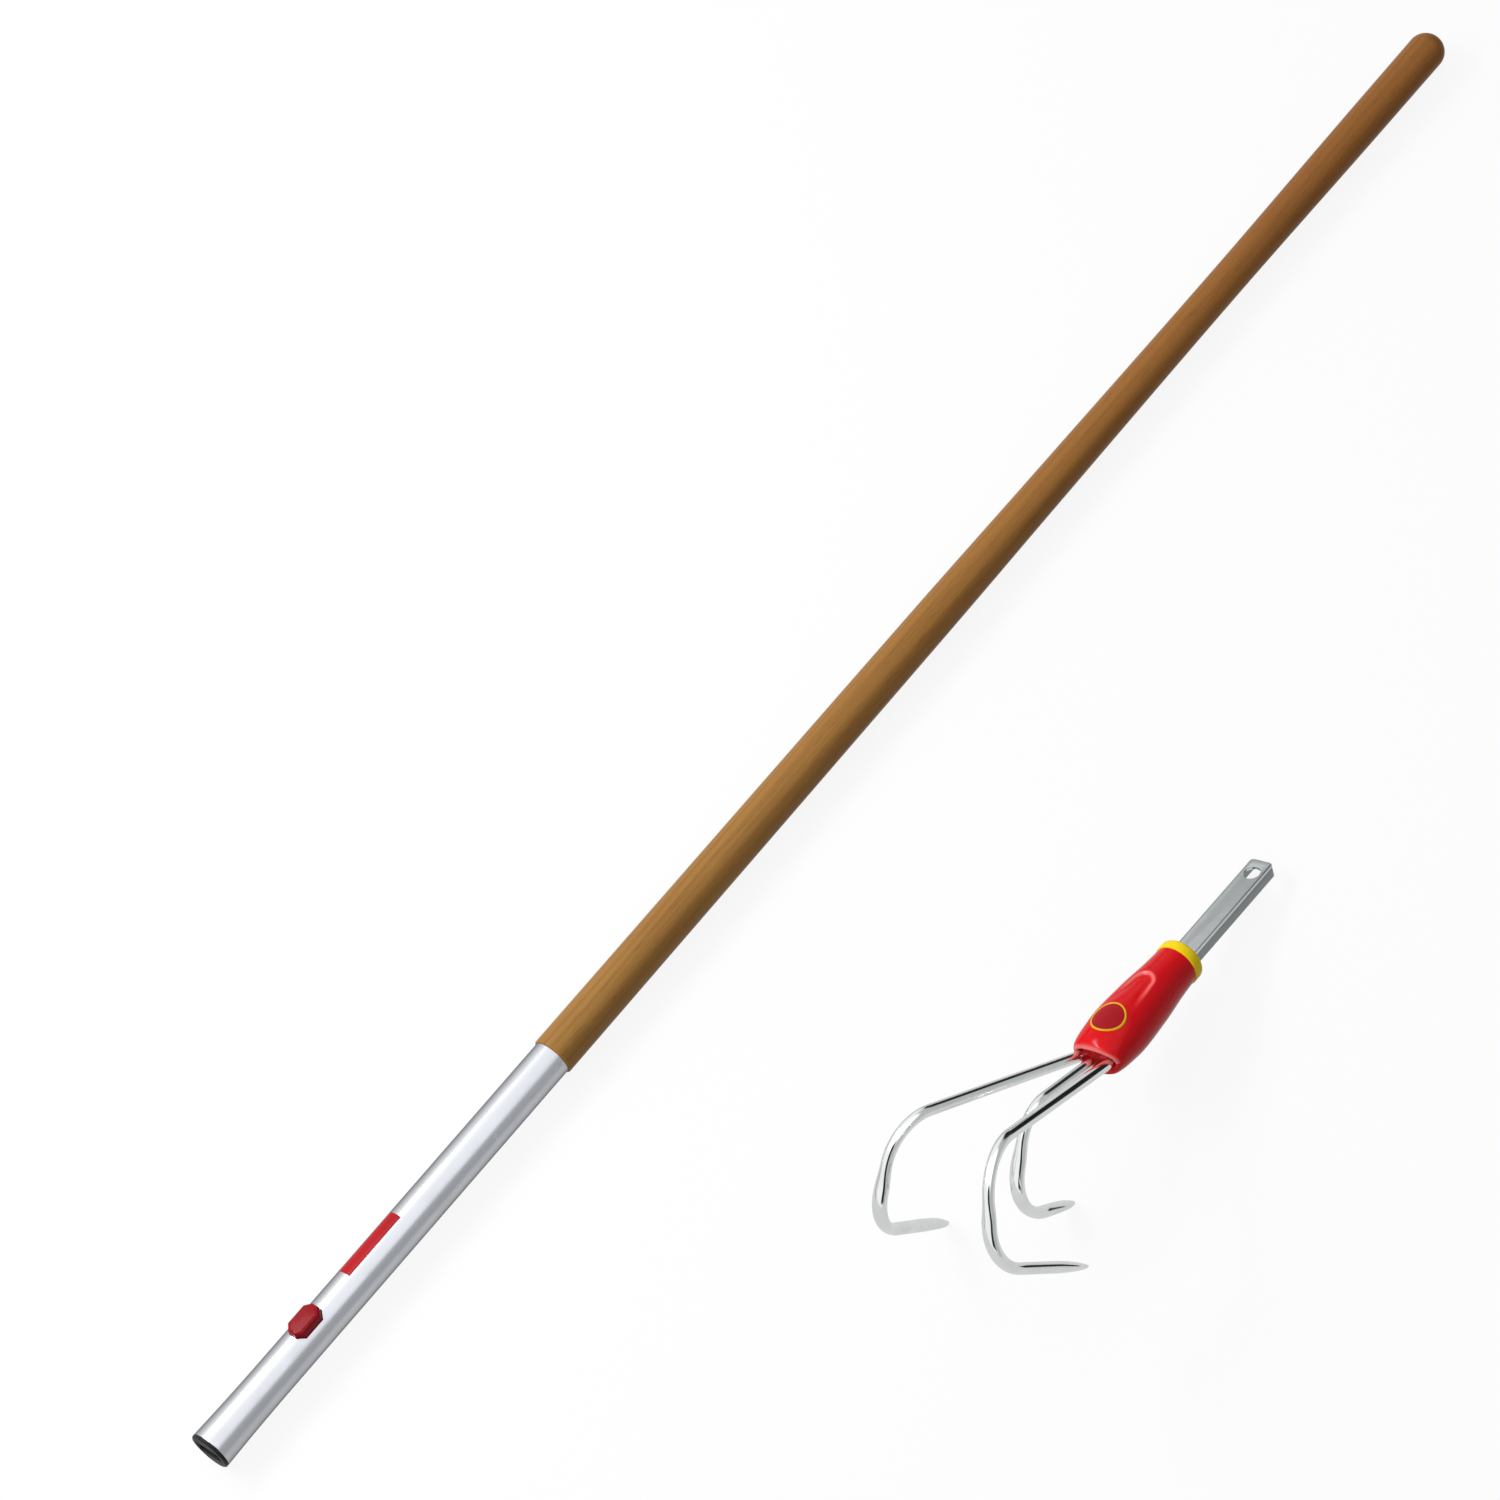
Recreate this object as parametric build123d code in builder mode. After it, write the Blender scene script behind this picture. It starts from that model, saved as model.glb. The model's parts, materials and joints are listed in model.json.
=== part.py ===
"""Long-handled cultivator: a handle with a snap-in socket and a three-tine head taken off beside it.

The handle lies along +X with the socket mouth's centre at the origin. Z is up, and the floor is one
handle radius below the axis. The head lies parallel to the handle on three points: the tang's corner,
the centre tine's point and the left tine's point.
"""

import os
from math import cos, radians, sin

from build123d import *

# Handle: wooden shaft and metal ferrule tube
handle_length = 1400.0
tube_length = 352.0
tube_outer_r = 14.0
tube_wall = 1.2
mouth_flare = 1.1
mouth_flare_length = 55.0
shaft_step = 1.4
shaft_bevel = 1.2
shaft_belly_r = 14.75
shaft_belly_from_tube = 428.0
shaft_taper_r = 13.9
shaft_taper_from_tube = 548.0
shaft_waist_r = 12.8
shaft_waist_from_end = 270.0
shaft_swell_r = 13.95
shaft_swell_from_end = 100.0
shaft_end_r = 14.25
tenon_length = 70.0
fit_gap = 0.05
rivet_r = 2.5
rivet_head_r = 4.5
rivet_head_height = 1.2
rivet_from_shoulder = 30.0

# Tang of the head, a folded channel of sheet steel
tang_width = 20.0
tang_depth = 8.5
tang_sheet = 2.0
tang_fold_r = 2.4
tang_reach = 103.0
tang_hole_r = 6.2
tang_hole_from_tip = 13.5
tang_tip_r = 3.6
tang_bend_r = 0.8
tang_tongue_start = 14.0

# Snap-in latch, rolled about the handle's axis
latch_roll = 21.0
slot_gap = 0.3
guide_length = 76.0
guide_rim = 2.4
guide_rim_edge = 0.9
button_length = 25.0
button_width = 15.5
button_corner = 4.5
button_at = 102.0
button_proud = 5.0
button_crown = 2.6
button_travel = 2.5
window_gap = 0.35
flange_length = 29.0
flange_width = 18.4
flange_height = 1.5
flange_drop = 5.8
stem_length = 11.5
stem_width = 12.0
stem_gap = 0.4
hook_width = 11.6
hook_thickness = 3.0
nose_gap = 0.5
nose_reach = 1.35
hook_below_tang = 2.0
carrier_length = 50.0
carrier_stop_gap = 0.6
carrier_front_wall = 2.0
carrier_floor = 1.4
spring_thickness = 0.5
spring_width = 7.0
spring_gap = 0.1

# Three tines of round rod, flattened below the upper bend, with forged points
rod_r = 4.05
rod_gap = 2.4
rod_inside = 47.0
rod_exit_at = 6.0
outer_rise = 22.7
outer_run = 172.0
outer_drop = 77.4
outer_drop_angle = 60.0
outer_hook = 95.7
outer_hook_angle = 39.2
centre_rise = 14.0
centre_run = 80.0
centre_drop = 76.8
centre_drop_angle = 52.0
centre_hook = 73.0
centre_hook_angle = 30.0
spread_at_bend = 37.7
spread_at_low = 48.2
spread_at_tip = 58.0
exit_bend_r = 22.0
outer_bend_r = 27.5
centre_bend_r = 30.0
lower_bend_r = 34.0
blade_half_width = 5.3
blade_half_thickness = 3.6
point_length = 20.0
point_spread = 0.5
point_flat = 2.6
point_width = 2.4
point_thickness = 1.1
point_rest = 1.2

# Moulded sleeve, collar and round pad
sleeve_length = 102.0
sleeve_top_r = 15.8
sleeve_neck_at = 87.0
sleeve_back_at = 62.0
sleeve_back_half_width = 19.6
sleeve_back_half_height = 18.9
sleeve_belly_at = 33.0
sleeve_belly_half_width = 21.6
sleeve_belly_half_height = 20.0
sleeve_heel_at = 15.0
sleeve_heel_half_width = 21.0
sleeve_heel_half_height = 17.5
sleeve_mouth_half_width = 19.5
sleeve_mouth_half_height = 13.4
sleeve_wall = 3.2
mouth_scoop_depth = 12.5
mouth_scallop_r = 16.0
mouth_scallop_from_mouth = 12.5
moulding_gap = 0.15
tongue_height = 0.9
tongue_top_at = 74.0
tongue_top_half_width = 7.5
tongue_foot_at = 9.0
tongue_foot_half_width = 14.5
pad_r = 12.6
pad_at = 25.5
pad_seat_height = 14.2
pad_proud = 0.4
collar_r = 16.8
collar_length = 9.0
collar_crown = 2.8
collar_edge = 0.7
bead_leg = 2.0

# Where the head lies beside the handle: the middle of its sleeve's mouth, seen from above
head_at_x = 561.0
head_at_y = -297.5
head_turn = 1.1

os.makedirs("parts", exist_ok=True)

# Values that follow from the driving dimensions
tube_inner_r = tube_outer_r - tube_wall
mouth_outer_r = tube_outer_r + mouth_flare
shaft_shoulder_r = tube_outer_r + shaft_step
floor_z = -shaft_shoulder_r
half_tang = tang_depth / 2
web_under = half_tang - tang_sheet
seat_depth = tang_reach - guide_rim
hole_depth = seat_depth - tang_hole_from_tip
nose_r = tang_hole_r - nose_gap
rod_pitch = 2 * rod_r + rod_gap
latch_up = Vector(0, sin(radians(latch_roll)), cos(radians(latch_roll)))
latch_side = Vector(0, cos(radians(latch_roll)), -sin(radians(latch_roll)))
hook_top = -half_tang + hook_thickness - hook_below_tang
hook_under = hook_top - hook_thickness
flange_under = tube_inner_r - flange_drop
button_top = tube_outer_r + button_proud
carrier_start = seat_depth + carrier_stop_gap
stem_start = carrier_start + carrier_front_wall + stem_gap
pocket_end = stem_start + stem_length + stem_gap
pocket_floor = -tube_inner_r + carrier_floor


def across(x):
    """Plane square to the handle at x, with its local y towards the button."""
    return Plane(origin=(x, 0, 0), x_dir=latch_side, z_dir=(1, 0, 0))


def above(height):
    """Plane that faces the button, at a height above the handle's axis."""
    return Plane(origin=latch_up * height, x_dir=(1, 0, 0), z_dir=latch_up)


beside = Plane(origin=(0, 0, 0), x_dir=(1, 0, 0), z_dir=-latch_side)

# Wooden shaft, turned to its long profile, with a tenon inside the tube and a domed end
dome_start = handle_length - shaft_end_r
shaft_profile = [
    (tube_length, shaft_shoulder_r - shaft_bevel),
    (tube_length + shaft_bevel, shaft_shoulder_r),
    (tube_length + shaft_belly_from_tube, shaft_belly_r),
    (tube_length + shaft_taper_from_tube, shaft_taper_r),
    (handle_length - shaft_waist_from_end, shaft_waist_r),
    (handle_length - shaft_swell_from_end, shaft_swell_r),
    (dome_start, shaft_end_r),
]
with BuildPart() as wooden_shaft:
    for place, radius in shaft_profile:
        with BuildSketch(across(place)):
            Circle(radius)
    loft(ruled=True)
    with BuildSketch(across(tube_length - tenon_length)):
        Circle(tube_inner_r - fit_gap)
    extrude(amount=tenon_length)
    with BuildSketch(Plane.XZ):
        with BuildLine():
            RadiusArc((dome_start, shaft_end_r), (handle_length, 0), shaft_end_r)
            Polyline((handle_length, 0), (dome_start, 0), (dome_start, shaft_end_r))
        make_face()
    revolve(axis=Axis.X)
    rivet_at = tube_length - rivet_from_shoulder
    with BuildSketch(Plane(origin=(rivet_at, 0, 0), z_dir=(0, 0, -1))):
        Circle(rivet_r + fit_gap)
    extrude(amount=shaft_shoulder_r, mode=Mode.SUBTRACT)
wooden_shaft.part.label = "wooden_shaft"
export_step(wooden_shaft.part, "parts/wooden_shaft.step")

# Ferrule tube: flared a little at its mouth, with the button's window and the rivet's hole
with BuildPart() as ferrule_tube:
    with BuildSketch(Plane.XZ):
        with BuildLine():
            Polyline(
                (0, tube_inner_r),
                (tube_length, tube_inner_r),
                (tube_length, tube_outer_r),
                (mouth_flare_length, tube_outer_r),
                (0, mouth_outer_r),
                close=True,
            )
        make_face()
    revolve(axis=Axis.X)
    with BuildSketch(above(0)) as window:
        with Locations((button_at, 0)):
            Rectangle(button_length + 2 * window_gap, button_width + 2 * window_gap)
        chamfer(window.vertices(), button_corner)
    extrude(amount=2 * tube_outer_r, mode=Mode.SUBTRACT)
    with BuildSketch(Plane(origin=(rivet_at, 0, 0), z_dir=(0, 0, -1))):
        Circle(rivet_r + fit_gap)
    extrude(amount=2 * tube_outer_r, mode=Mode.SUBTRACT)
ferrule_tube.part.label = "ferrule_tube"
export_step(ferrule_tube.part, "parts/ferrule_tube.step")

# Rivet on the underside, which holds the tube on the tenon
with BuildPart() as ferrule_rivet:
    rivet_seat = Plane(origin=(rivet_at, 0, -tube_outer_r - fit_gap), z_dir=(0, 0, -1))
    with BuildSketch(rivet_seat):
        Circle(rivet_r)
    extrude(amount=-tube_outer_r)
    with BuildSketch(rivet_seat):
        Circle(rivet_head_r)
    extrude(amount=rivet_head_height)
    fillet(ferrule_rivet.edges().group_by(Axis.Z)[0], rivet_head_height * 0.8)
ferrule_rivet.part.label = "ferrule_rivet"
export_step(ferrule_rivet.part, "parts/ferrule_rivet.step")

# Guide in the mouth: a rim outside and a flat slot that takes the tang
with BuildPart() as mouth_guide:
    with BuildSketch(across(-guide_rim)):
        Circle(mouth_outer_r)
    extrude(amount=guide_rim - fit_gap)
    chamfer(mouth_guide.edges().group_by(Axis.X)[0], guide_rim_edge)
    with BuildSketch(across(-fit_gap)):
        Circle(tube_inner_r - fit_gap)
    extrude(amount=guide_length)
    with BuildSketch(across(-guide_rim)) as slot:
        Rectangle(tang_width + 2 * slot_gap, tang_depth + 2 * slot_gap)
        fillet(slot.vertices(), slot_gap)
    extrude(amount=guide_length + 2 * guide_rim, mode=Mode.SUBTRACT)
    chamfer(mouth_guide.faces().sort_by(Axis.X)[0].inner_wires().edges(), guide_rim_edge)
mouth_guide.part.label = "mouth_guide"
export_step(mouth_guide.part, "parts/mouth_guide.step")

# Carrier behind the latch: stops the tang, guides the stem and seats the spring
with BuildPart() as latch_carrier:
    with BuildSketch(across(carrier_start)):
        Circle(tube_inner_r - fit_gap)
    extrude(amount=carrier_length)
    with BuildSketch(above(pocket_floor)):
        with Locations(((stem_start - stem_gap + pocket_end) / 2, 0)):
            Rectangle(pocket_end - stem_start + stem_gap, stem_width + 2 * stem_gap)
    extrude(amount=2 * tube_outer_r, mode=Mode.SUBTRACT)
    with BuildSketch(above(flange_under - button_travel - stem_gap)):
        with Locations((button_at, 0)):
            Rectangle(flange_length + 2 * stem_gap, 2 * tube_outer_r)
    extrude(amount=tube_outer_r, mode=Mode.SUBTRACT)
    with BuildSketch(across(carrier_start)):
        with BuildLine():
            half_slot = hook_width / 2 + stem_gap
            Polyline(
                (-half_slot, pocket_floor),
                (half_slot, pocket_floor),
                (half_slot, hook_top + stem_gap),
                (-half_slot, hook_top + stem_gap),
                close=True,
            )
        make_face()
    extrude(amount=carrier_front_wall + stem_length / 2, mode=Mode.SUBTRACT)
latch_carrier.part.label = "latch_carrier"
export_step(latch_carrier.part, "parts/latch_carrier.step")

# Release button: eight-sided, crowned, with a flange that keeps it inside the tube
with BuildPart() as release_button:
    with BuildSketch(above(flange_under)) as flange:
        with Locations((button_at, 0)):
            Rectangle(flange_length, flange_width)
    extrude(amount=flange_height)
    with BuildSketch(above(flange_under + flange_height)) as cap:
        with Locations((button_at, 0)):
            Rectangle(button_length, button_width)
        chamfer(cap.vertices(), button_corner)
    extrude(amount=button_top - flange_under - flange_height)
    crown = release_button.faces().sort_by(Axis(origin=(0, 0, 0), direction=latch_up))[-1]
    fillet(crown.edges(), button_crown)
release_button.part.label = "release_button"
export_step(release_button.part, "parts/release_button.step")

# Latch hook: a stem under the button, an arm below the tang and a nose that enters the tang's hole
with BuildPart() as latch_hook:
    with BuildSketch(above(hook_under)):
        with Locations((stem_start + stem_length / 2, 0)):
            Rectangle(stem_length, stem_width)
    extrude(amount=flange_under - hook_under)
    with BuildSketch(above(hook_under)):
        with Locations((hole_depth - nose_r, 0)):
            arm_length = stem_start - hole_depth + nose_r
            Rectangle(arm_length, hook_width, align=(Align.MIN, Align.CENTER))
    extrude(amount=hook_thickness)
    with BuildSketch(above(hook_top)):
        with Locations((hole_depth, 0)):
            Circle(nose_r)
    extrude(amount=web_under + nose_reach - hook_top)
    with BuildSketch(beside):
        with BuildLine():
            nose_top = web_under + nose_reach
            Polyline(
                (hole_depth - nose_r, nose_top),
                (hole_depth, nose_top),
                (hole_depth - nose_r, hook_top),
                close=True,
            )
        make_face()
    extrude(amount=nose_r, both=True, mode=Mode.SUBTRACT)
latch_hook.part.label = "latch_hook"
export_step(latch_hook.part, "parts/latch_hook.step")

# Bowed leaf spring between the carrier's floor and the stem
with BuildPart() as latch_spring:
    with BuildSketch(beside):
        with BuildLine():
            foot = pocket_floor + spring_gap
            bow = hook_under - spring_gap
            spring_mid = stem_start + stem_length / 2
            spring_half = stem_length / 2
            outer = ThreePointArc(
                (spring_mid - spring_half, foot),
                (spring_mid, bow),
                (spring_mid + spring_half, foot),
            )
            inner = ThreePointArc(
                (spring_mid - spring_half + 2 * spring_thickness, foot),
                (spring_mid, bow - spring_thickness),
                (spring_mid + spring_half - 2 * spring_thickness, foot),
            )
            Line(outer @ 0, inner @ 0)
            Line(outer @ 1, inner @ 1)
        make_face()
    extrude(amount=spring_width / 2, both=True)
latch_spring.part.label = "latch_spring"
export_step(latch_spring.part, "parts/latch_spring.step")

# The head's own frame: x from the sleeve's mouth to the tang's tip, y to the left, z square to the web
tang_tip = sleeve_length + collar_length + tang_reach
rod_axis_z = web_under - rod_r - fit_gap
outer_form = (outer_rise, outer_run, outer_drop, outer_drop_angle, outer_hook, outer_hook_angle)
centre_form = (centre_rise, centre_run, centre_drop, centre_drop_angle, centre_hook, centre_hook_angle)


def tine_corners(side):
    """Corners of a tine's centre line in the head's frame: side is 1, 0 or -1."""
    rise, run, drop, drop_angle, hook, hook_angle = outer_form if side else centre_form
    bend_x = rod_exit_at - run * cos(radians(rise))
    bend_z = rod_axis_z + run * sin(radians(rise))
    low_x = bend_x - drop * cos(radians(drop_angle))
    low_z = bend_z - drop * sin(radians(drop_angle))
    tip_x = low_x + (hook - point_length) * cos(radians(hook_angle))
    tip_z = low_z - (hook - point_length) * sin(radians(hook_angle))
    return [
        Vector(rod_inside, side * rod_pitch, rod_axis_z),
        Vector(rod_exit_at, side * rod_pitch, rod_axis_z),
        Vector(bend_x, side * spread_at_bend, bend_z),
        Vector(low_x, side * spread_at_low, low_z),
        Vector(tip_x, side * spread_at_tip, tip_z),
    ]


def tine_point(corners):
    """Very tip of a tine's forged point, past the last corner of its centre line."""
    return corners[-1] + (corners[-1] - corners[-2]).normalized() * point_length


def resting_plane(drop):
    """Floor under the head, in the head's frame, with the points standing a little off it."""
    corner = Vector(tang_tip - tang_tip_r, tang_width / 2, -half_tang)
    centre = tine_point(tine_corners(0)) - drop
    left = tine_point(tine_corners(1)) - drop
    normal = (centre - corner).cross(left - corner).normalized()
    if normal.Z < 0:
        normal = -normal
    along = Vector(1, 0, 0) - normal * normal.X
    return Plane(origin=normal * corner.dot(normal), x_dir=along, z_dir=normal)


level_floor = resting_plane(Vector(0, 0, 0))
head_floor = resting_plane(level_floor.z_dir * point_rest)
head_spot = Location((head_at_x, head_at_y, floor_z), (0, 0, head_turn))
head_place = head_spot * head_floor.location.inverse()


def on_head(plane):
    """The same plane, carried from the head's frame to where the head lies."""
    return Plane(head_place * plane.location)


head_frame = on_head(Plane.XY)
head_lengthwise = Axis(head_frame.origin, head_frame.x_dir)
head_upwards = Axis(head_frame.origin, head_frame.z_dir)

# Tang: a flat tongue over the rods, folded into a channel that runs to its rounded tip
channel_start = rod_inside + moulding_gap
with BuildPart() as tang:
    with BuildSketch(on_head(Plane.YZ.offset(tang_tongue_start))):
        with Locations((0, (web_under + half_tang) / 2)):
            Rectangle(tang_width, tang_sheet)
    extrude(amount=channel_start - tang_tongue_start)
    with BuildSketch(on_head(Plane.YZ.offset(channel_start))) as channel:
        Rectangle(tang_width, tang_depth)
        with Locations((0, -tang_sheet)):
            Rectangle(tang_width - 2 * tang_sheet, tang_depth, mode=Mode.SUBTRACT)
        corners = channel.vertices().group_by(head_upwards)
        fillet(corners[-1], tang_fold_r)
        fillet(corners[-2], tang_bend_r)
    extrude(amount=tang_tip - channel_start)
    with BuildSketch(on_head(Plane.XY.offset(-tang_depth))) as outline:
        with Locations((tang_tongue_start, 0)):
            Rectangle(tang_tip - tang_tongue_start, tang_width, align=(Align.MIN, Align.CENTER))
        fillet(outline.vertices().group_by(head_lengthwise)[-1], tang_tip_r)
    extrude(amount=2 * tang_depth, mode=Mode.INTERSECT)
    with BuildSketch(on_head(Plane.XY)):
        with Locations((tang_tip - tang_hole_from_tip, 0)):
            Circle(tang_hole_r)
    extrude(amount=tang_depth, mode=Mode.SUBTRACT)
tang.part.label = "tang"
export_step(tang.part, "parts/tang.step")


def make_tine(name, side):
    """One tine: a round rod with three bends, flattened from the drop on and forged to a point."""
    corners = [head_frame.from_local_coords(corner) for corner in tine_corners(side)]
    upper_bend_r = outer_bend_r if side else centre_bend_r
    with BuildPart() as tine:
        with BuildLine() as centre_line:
            FilletPolyline(*corners, radius=[exit_bend_r, upper_bend_r, lower_bend_r])
        legs = centre_line.wire().order_edges()
        rod_path = Wire(legs[:4])
        drop = legs[4]
        blade_path = Wire(legs[5:])
        broad = (drop % 1).cross(blade_path % 1).normalized()
        with BuildSketch(Plane(origin=rod_path @ 0, z_dir=rod_path % 0)):
            Circle(rod_r)
        sweep(path=rod_path)
        with BuildSketch(Plane(origin=drop @ 0, x_dir=broad, z_dir=drop % 0)):
            Circle(rod_r)
        with BuildSketch(Plane(origin=drop @ 1, x_dir=broad, z_dir=drop % 1)):
            Ellipse(blade_half_width, blade_half_thickness)
        loft()
        with BuildSketch(Plane(origin=blade_path @ 0, x_dir=broad, z_dir=blade_path % 0)):
            Ellipse(blade_half_width, blade_half_thickness)
        sweep(path=blade_path)
        blade_end = Plane(origin=blade_path @ 1, x_dir=broad, z_dir=blade_path % 1)
        with BuildSketch(blade_end):
            Ellipse(blade_half_width, blade_half_thickness)
        with BuildSketch(blade_end.offset(point_length / 2)):
            Ellipse(blade_half_width + point_spread, point_flat)
        with BuildSketch(blade_end.offset(point_length)):
            Ellipse(point_width, point_thickness)
        loft(ruled=True)
    tine.part.label = name
    export_step(tine.part, f"parts/{name}.step")


make_tine("tine_left", 1)
make_tine("tine_centre", 0)
make_tine("tine_right", -1)

# Weld beads along both edges of the tongue, on top of the outer rods
with BuildPart() as weld_beads:
    for side in (1, -1):
        with BuildSketch(on_head(Plane.YZ.offset(tang_tongue_start + bead_leg))):
            with BuildLine():
                edge = side * (tang_width / 2 + fit_gap)
                Polyline(
                    (edge, web_under + fit_gap),
                    (edge, web_under + bead_leg),
                    (edge + side * bead_leg, web_under),
                    close=True,
                )
            make_face()
        extrude(amount=rod_inside - tang_tongue_start - 2 * bead_leg)
    with BuildSketch(on_head(Plane.YZ)):
        with Locations((rod_pitch, rod_axis_z), (-rod_pitch, rod_axis_z)):
            Circle(rod_r + fit_gap)
    extrude(amount=rod_inside, mode=Mode.SUBTRACT)
weld_beads.part.label = "weld_beads"
export_step(weld_beads.part, "parts/weld_beads.step")


def sleeve_form(grow):
    """Oval sections of the sleeve from its mouth to the collar: place, half width and half height."""
    return [
        (0, sleeve_mouth_half_width + grow, sleeve_mouth_half_height + grow),
        (sleeve_heel_at, sleeve_heel_half_width + grow, sleeve_heel_half_height + grow),
        (sleeve_belly_at, sleeve_belly_half_width + grow, sleeve_belly_half_height + grow),
        (sleeve_back_at, sleeve_back_half_width + grow, sleeve_back_half_height + grow),
        (sleeve_neck_at, sleeve_top_r + grow, sleeve_top_r + grow),
        (sleeve_length, sleeve_top_r + grow, sleeve_top_r + grow),
    ]


# Raised tongue on the sleeve's upper side, arched at its top and wider at its foot
with BuildPart() as tongue:
    for place, half_width, half_height in sleeve_form(tongue_height):
        with BuildSketch(on_head(Plane.YZ.offset(place))):
            Ellipse(half_width, half_height)
    loft()
    with BuildSketch(on_head(Plane.XY)):
        with BuildLine():
            arch_start = (tongue_top_at - tongue_top_half_width, tongue_top_half_width)
            arch_end = (tongue_top_at - tongue_top_half_width, -tongue_top_half_width)
            ThreePointArc(arch_start, (tongue_top_at, 0), arch_end)
            Polyline(
                arch_end,
                (tongue_foot_at, -tongue_foot_half_width),
                (tongue_foot_at, tongue_foot_half_width),
                arch_start,
            )
        make_face()
    extrude(amount=2 * sleeve_belly_half_height, mode=Mode.INTERSECT)

# Sleeve moulded over the joint: round at the collar, bellied, with a scalloped open mouth
with BuildPart() as sleeve:
    for place, half_width, half_height in sleeve_form(0):
        with BuildSketch(on_head(Plane.YZ.offset(place))):
            Ellipse(half_width, half_height)
    loft()
    add(tongue.part)
    with BuildSketch(on_head(Plane.XY.offset(pad_seat_height))):
        with Locations((pad_at, 0)):
            Circle(pad_r + moulding_gap)
    extrude(amount=2 * sleeve_belly_half_height, mode=Mode.SUBTRACT)
    with BuildSketch(on_head(Plane.XZ)):
        with Locations((-mouth_scallop_from_mouth, 0)):
            Circle(mouth_scallop_r)
    extrude(amount=2 * sleeve_belly_half_width, both=True, mode=Mode.SUBTRACT)
    with BuildSketch(on_head(Plane.YZ)):
        Ellipse(sleeve_mouth_half_width - sleeve_wall, sleeve_mouth_half_height - sleeve_wall)
    with BuildSketch(on_head(Plane.YZ.offset(mouth_scoop_depth))):
        Ellipse(rod_pitch + rod_r + moulding_gap, rod_r + moulding_gap)
    loft(mode=Mode.SUBTRACT)
    with BuildSketch(on_head(Plane.YZ)):
        with Locations((0, rod_axis_z)):
            Rectangle(2 * (rod_pitch + rod_r + moulding_gap), 2 * (rod_r + moulding_gap))
    extrude(amount=rod_inside + moulding_gap, mode=Mode.SUBTRACT)
    tongue_slot = tang_width + 2 * (bead_leg + moulding_gap)
    with BuildSketch(on_head(Plane.YZ.offset(tang_tongue_start - moulding_gap))):
        with Locations((0, (web_under + half_tang) / 2)):
            Rectangle(tongue_slot, tang_sheet + 2 * moulding_gap)
    extrude(amount=rod_inside - tang_tongue_start + 2 * moulding_gap, mode=Mode.SUBTRACT)
    with BuildSketch(on_head(Plane.YZ.offset(rod_inside))):
        Rectangle(tang_width + 2 * moulding_gap, tang_depth + 2 * moulding_gap)
    extrude(amount=sleeve_length, mode=Mode.SUBTRACT)
sleeve.part.label = "sleeve"
export_step(sleeve.part, "parts/sleeve.step")

# Round pad let into the tongue, standing a little proud of its curve
with BuildPart() as badge_pad:
    for place, half_width, half_height in sleeve_form(tongue_height + pad_proud):
        with BuildSketch(on_head(Plane.YZ.offset(place))):
            Ellipse(half_width, half_height)
    loft()
    with BuildSketch(on_head(Plane.XY.offset(pad_seat_height + fit_gap))):
        with Locations((pad_at, 0)):
            Circle(pad_r)
    extrude(amount=2 * sleeve_belly_half_height, mode=Mode.INTERSECT)
badge_pad.part.label = "badge_pad"
export_step(badge_pad.part, "parts/badge_pad.step")

# Collar ring that stops against the socket's rim
with BuildPart() as collar:
    with BuildSketch(on_head(Plane.YZ.offset(sleeve_length))):
        Circle(collar_r)
        Rectangle(tang_width + 2 * moulding_gap, tang_depth + 2 * moulding_gap, mode=Mode.SUBTRACT)
    extrude(amount=collar_length)
    rims = collar.edges().filter_by(GeomType.CIRCLE).sort_by(head_lengthwise)
    chamfer(rims[0], collar_edge)
    fillet(rims[-1], collar_crown)
collar.part.label = "collar"
export_step(collar.part, "parts/collar.step")
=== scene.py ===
"""Looks of a long-handled cultivator: an ash handle with a snap-in socket, and its three-tine head.

Sizes are in metres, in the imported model's frame: the handle along +X from its socket's mouth, +Z up.
Angles of parts are in degrees. The tables that hold no MM are in millimetres: the point of Tine, the
widths, heights and plug_insets of Sleeve, and the plain_rings and flare_rings of Socket.
"""

import json
import logging
from dataclasses import dataclass
from enum import Enum
from math import acos, cos, degrees, hypot, pi, radians, sin, sqrt, tan
from typing import Any, ClassVar, Dict, List, Optional, Sequence, Tuple, Union

import bpy
from mathutils import Matrix, Vector


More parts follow.
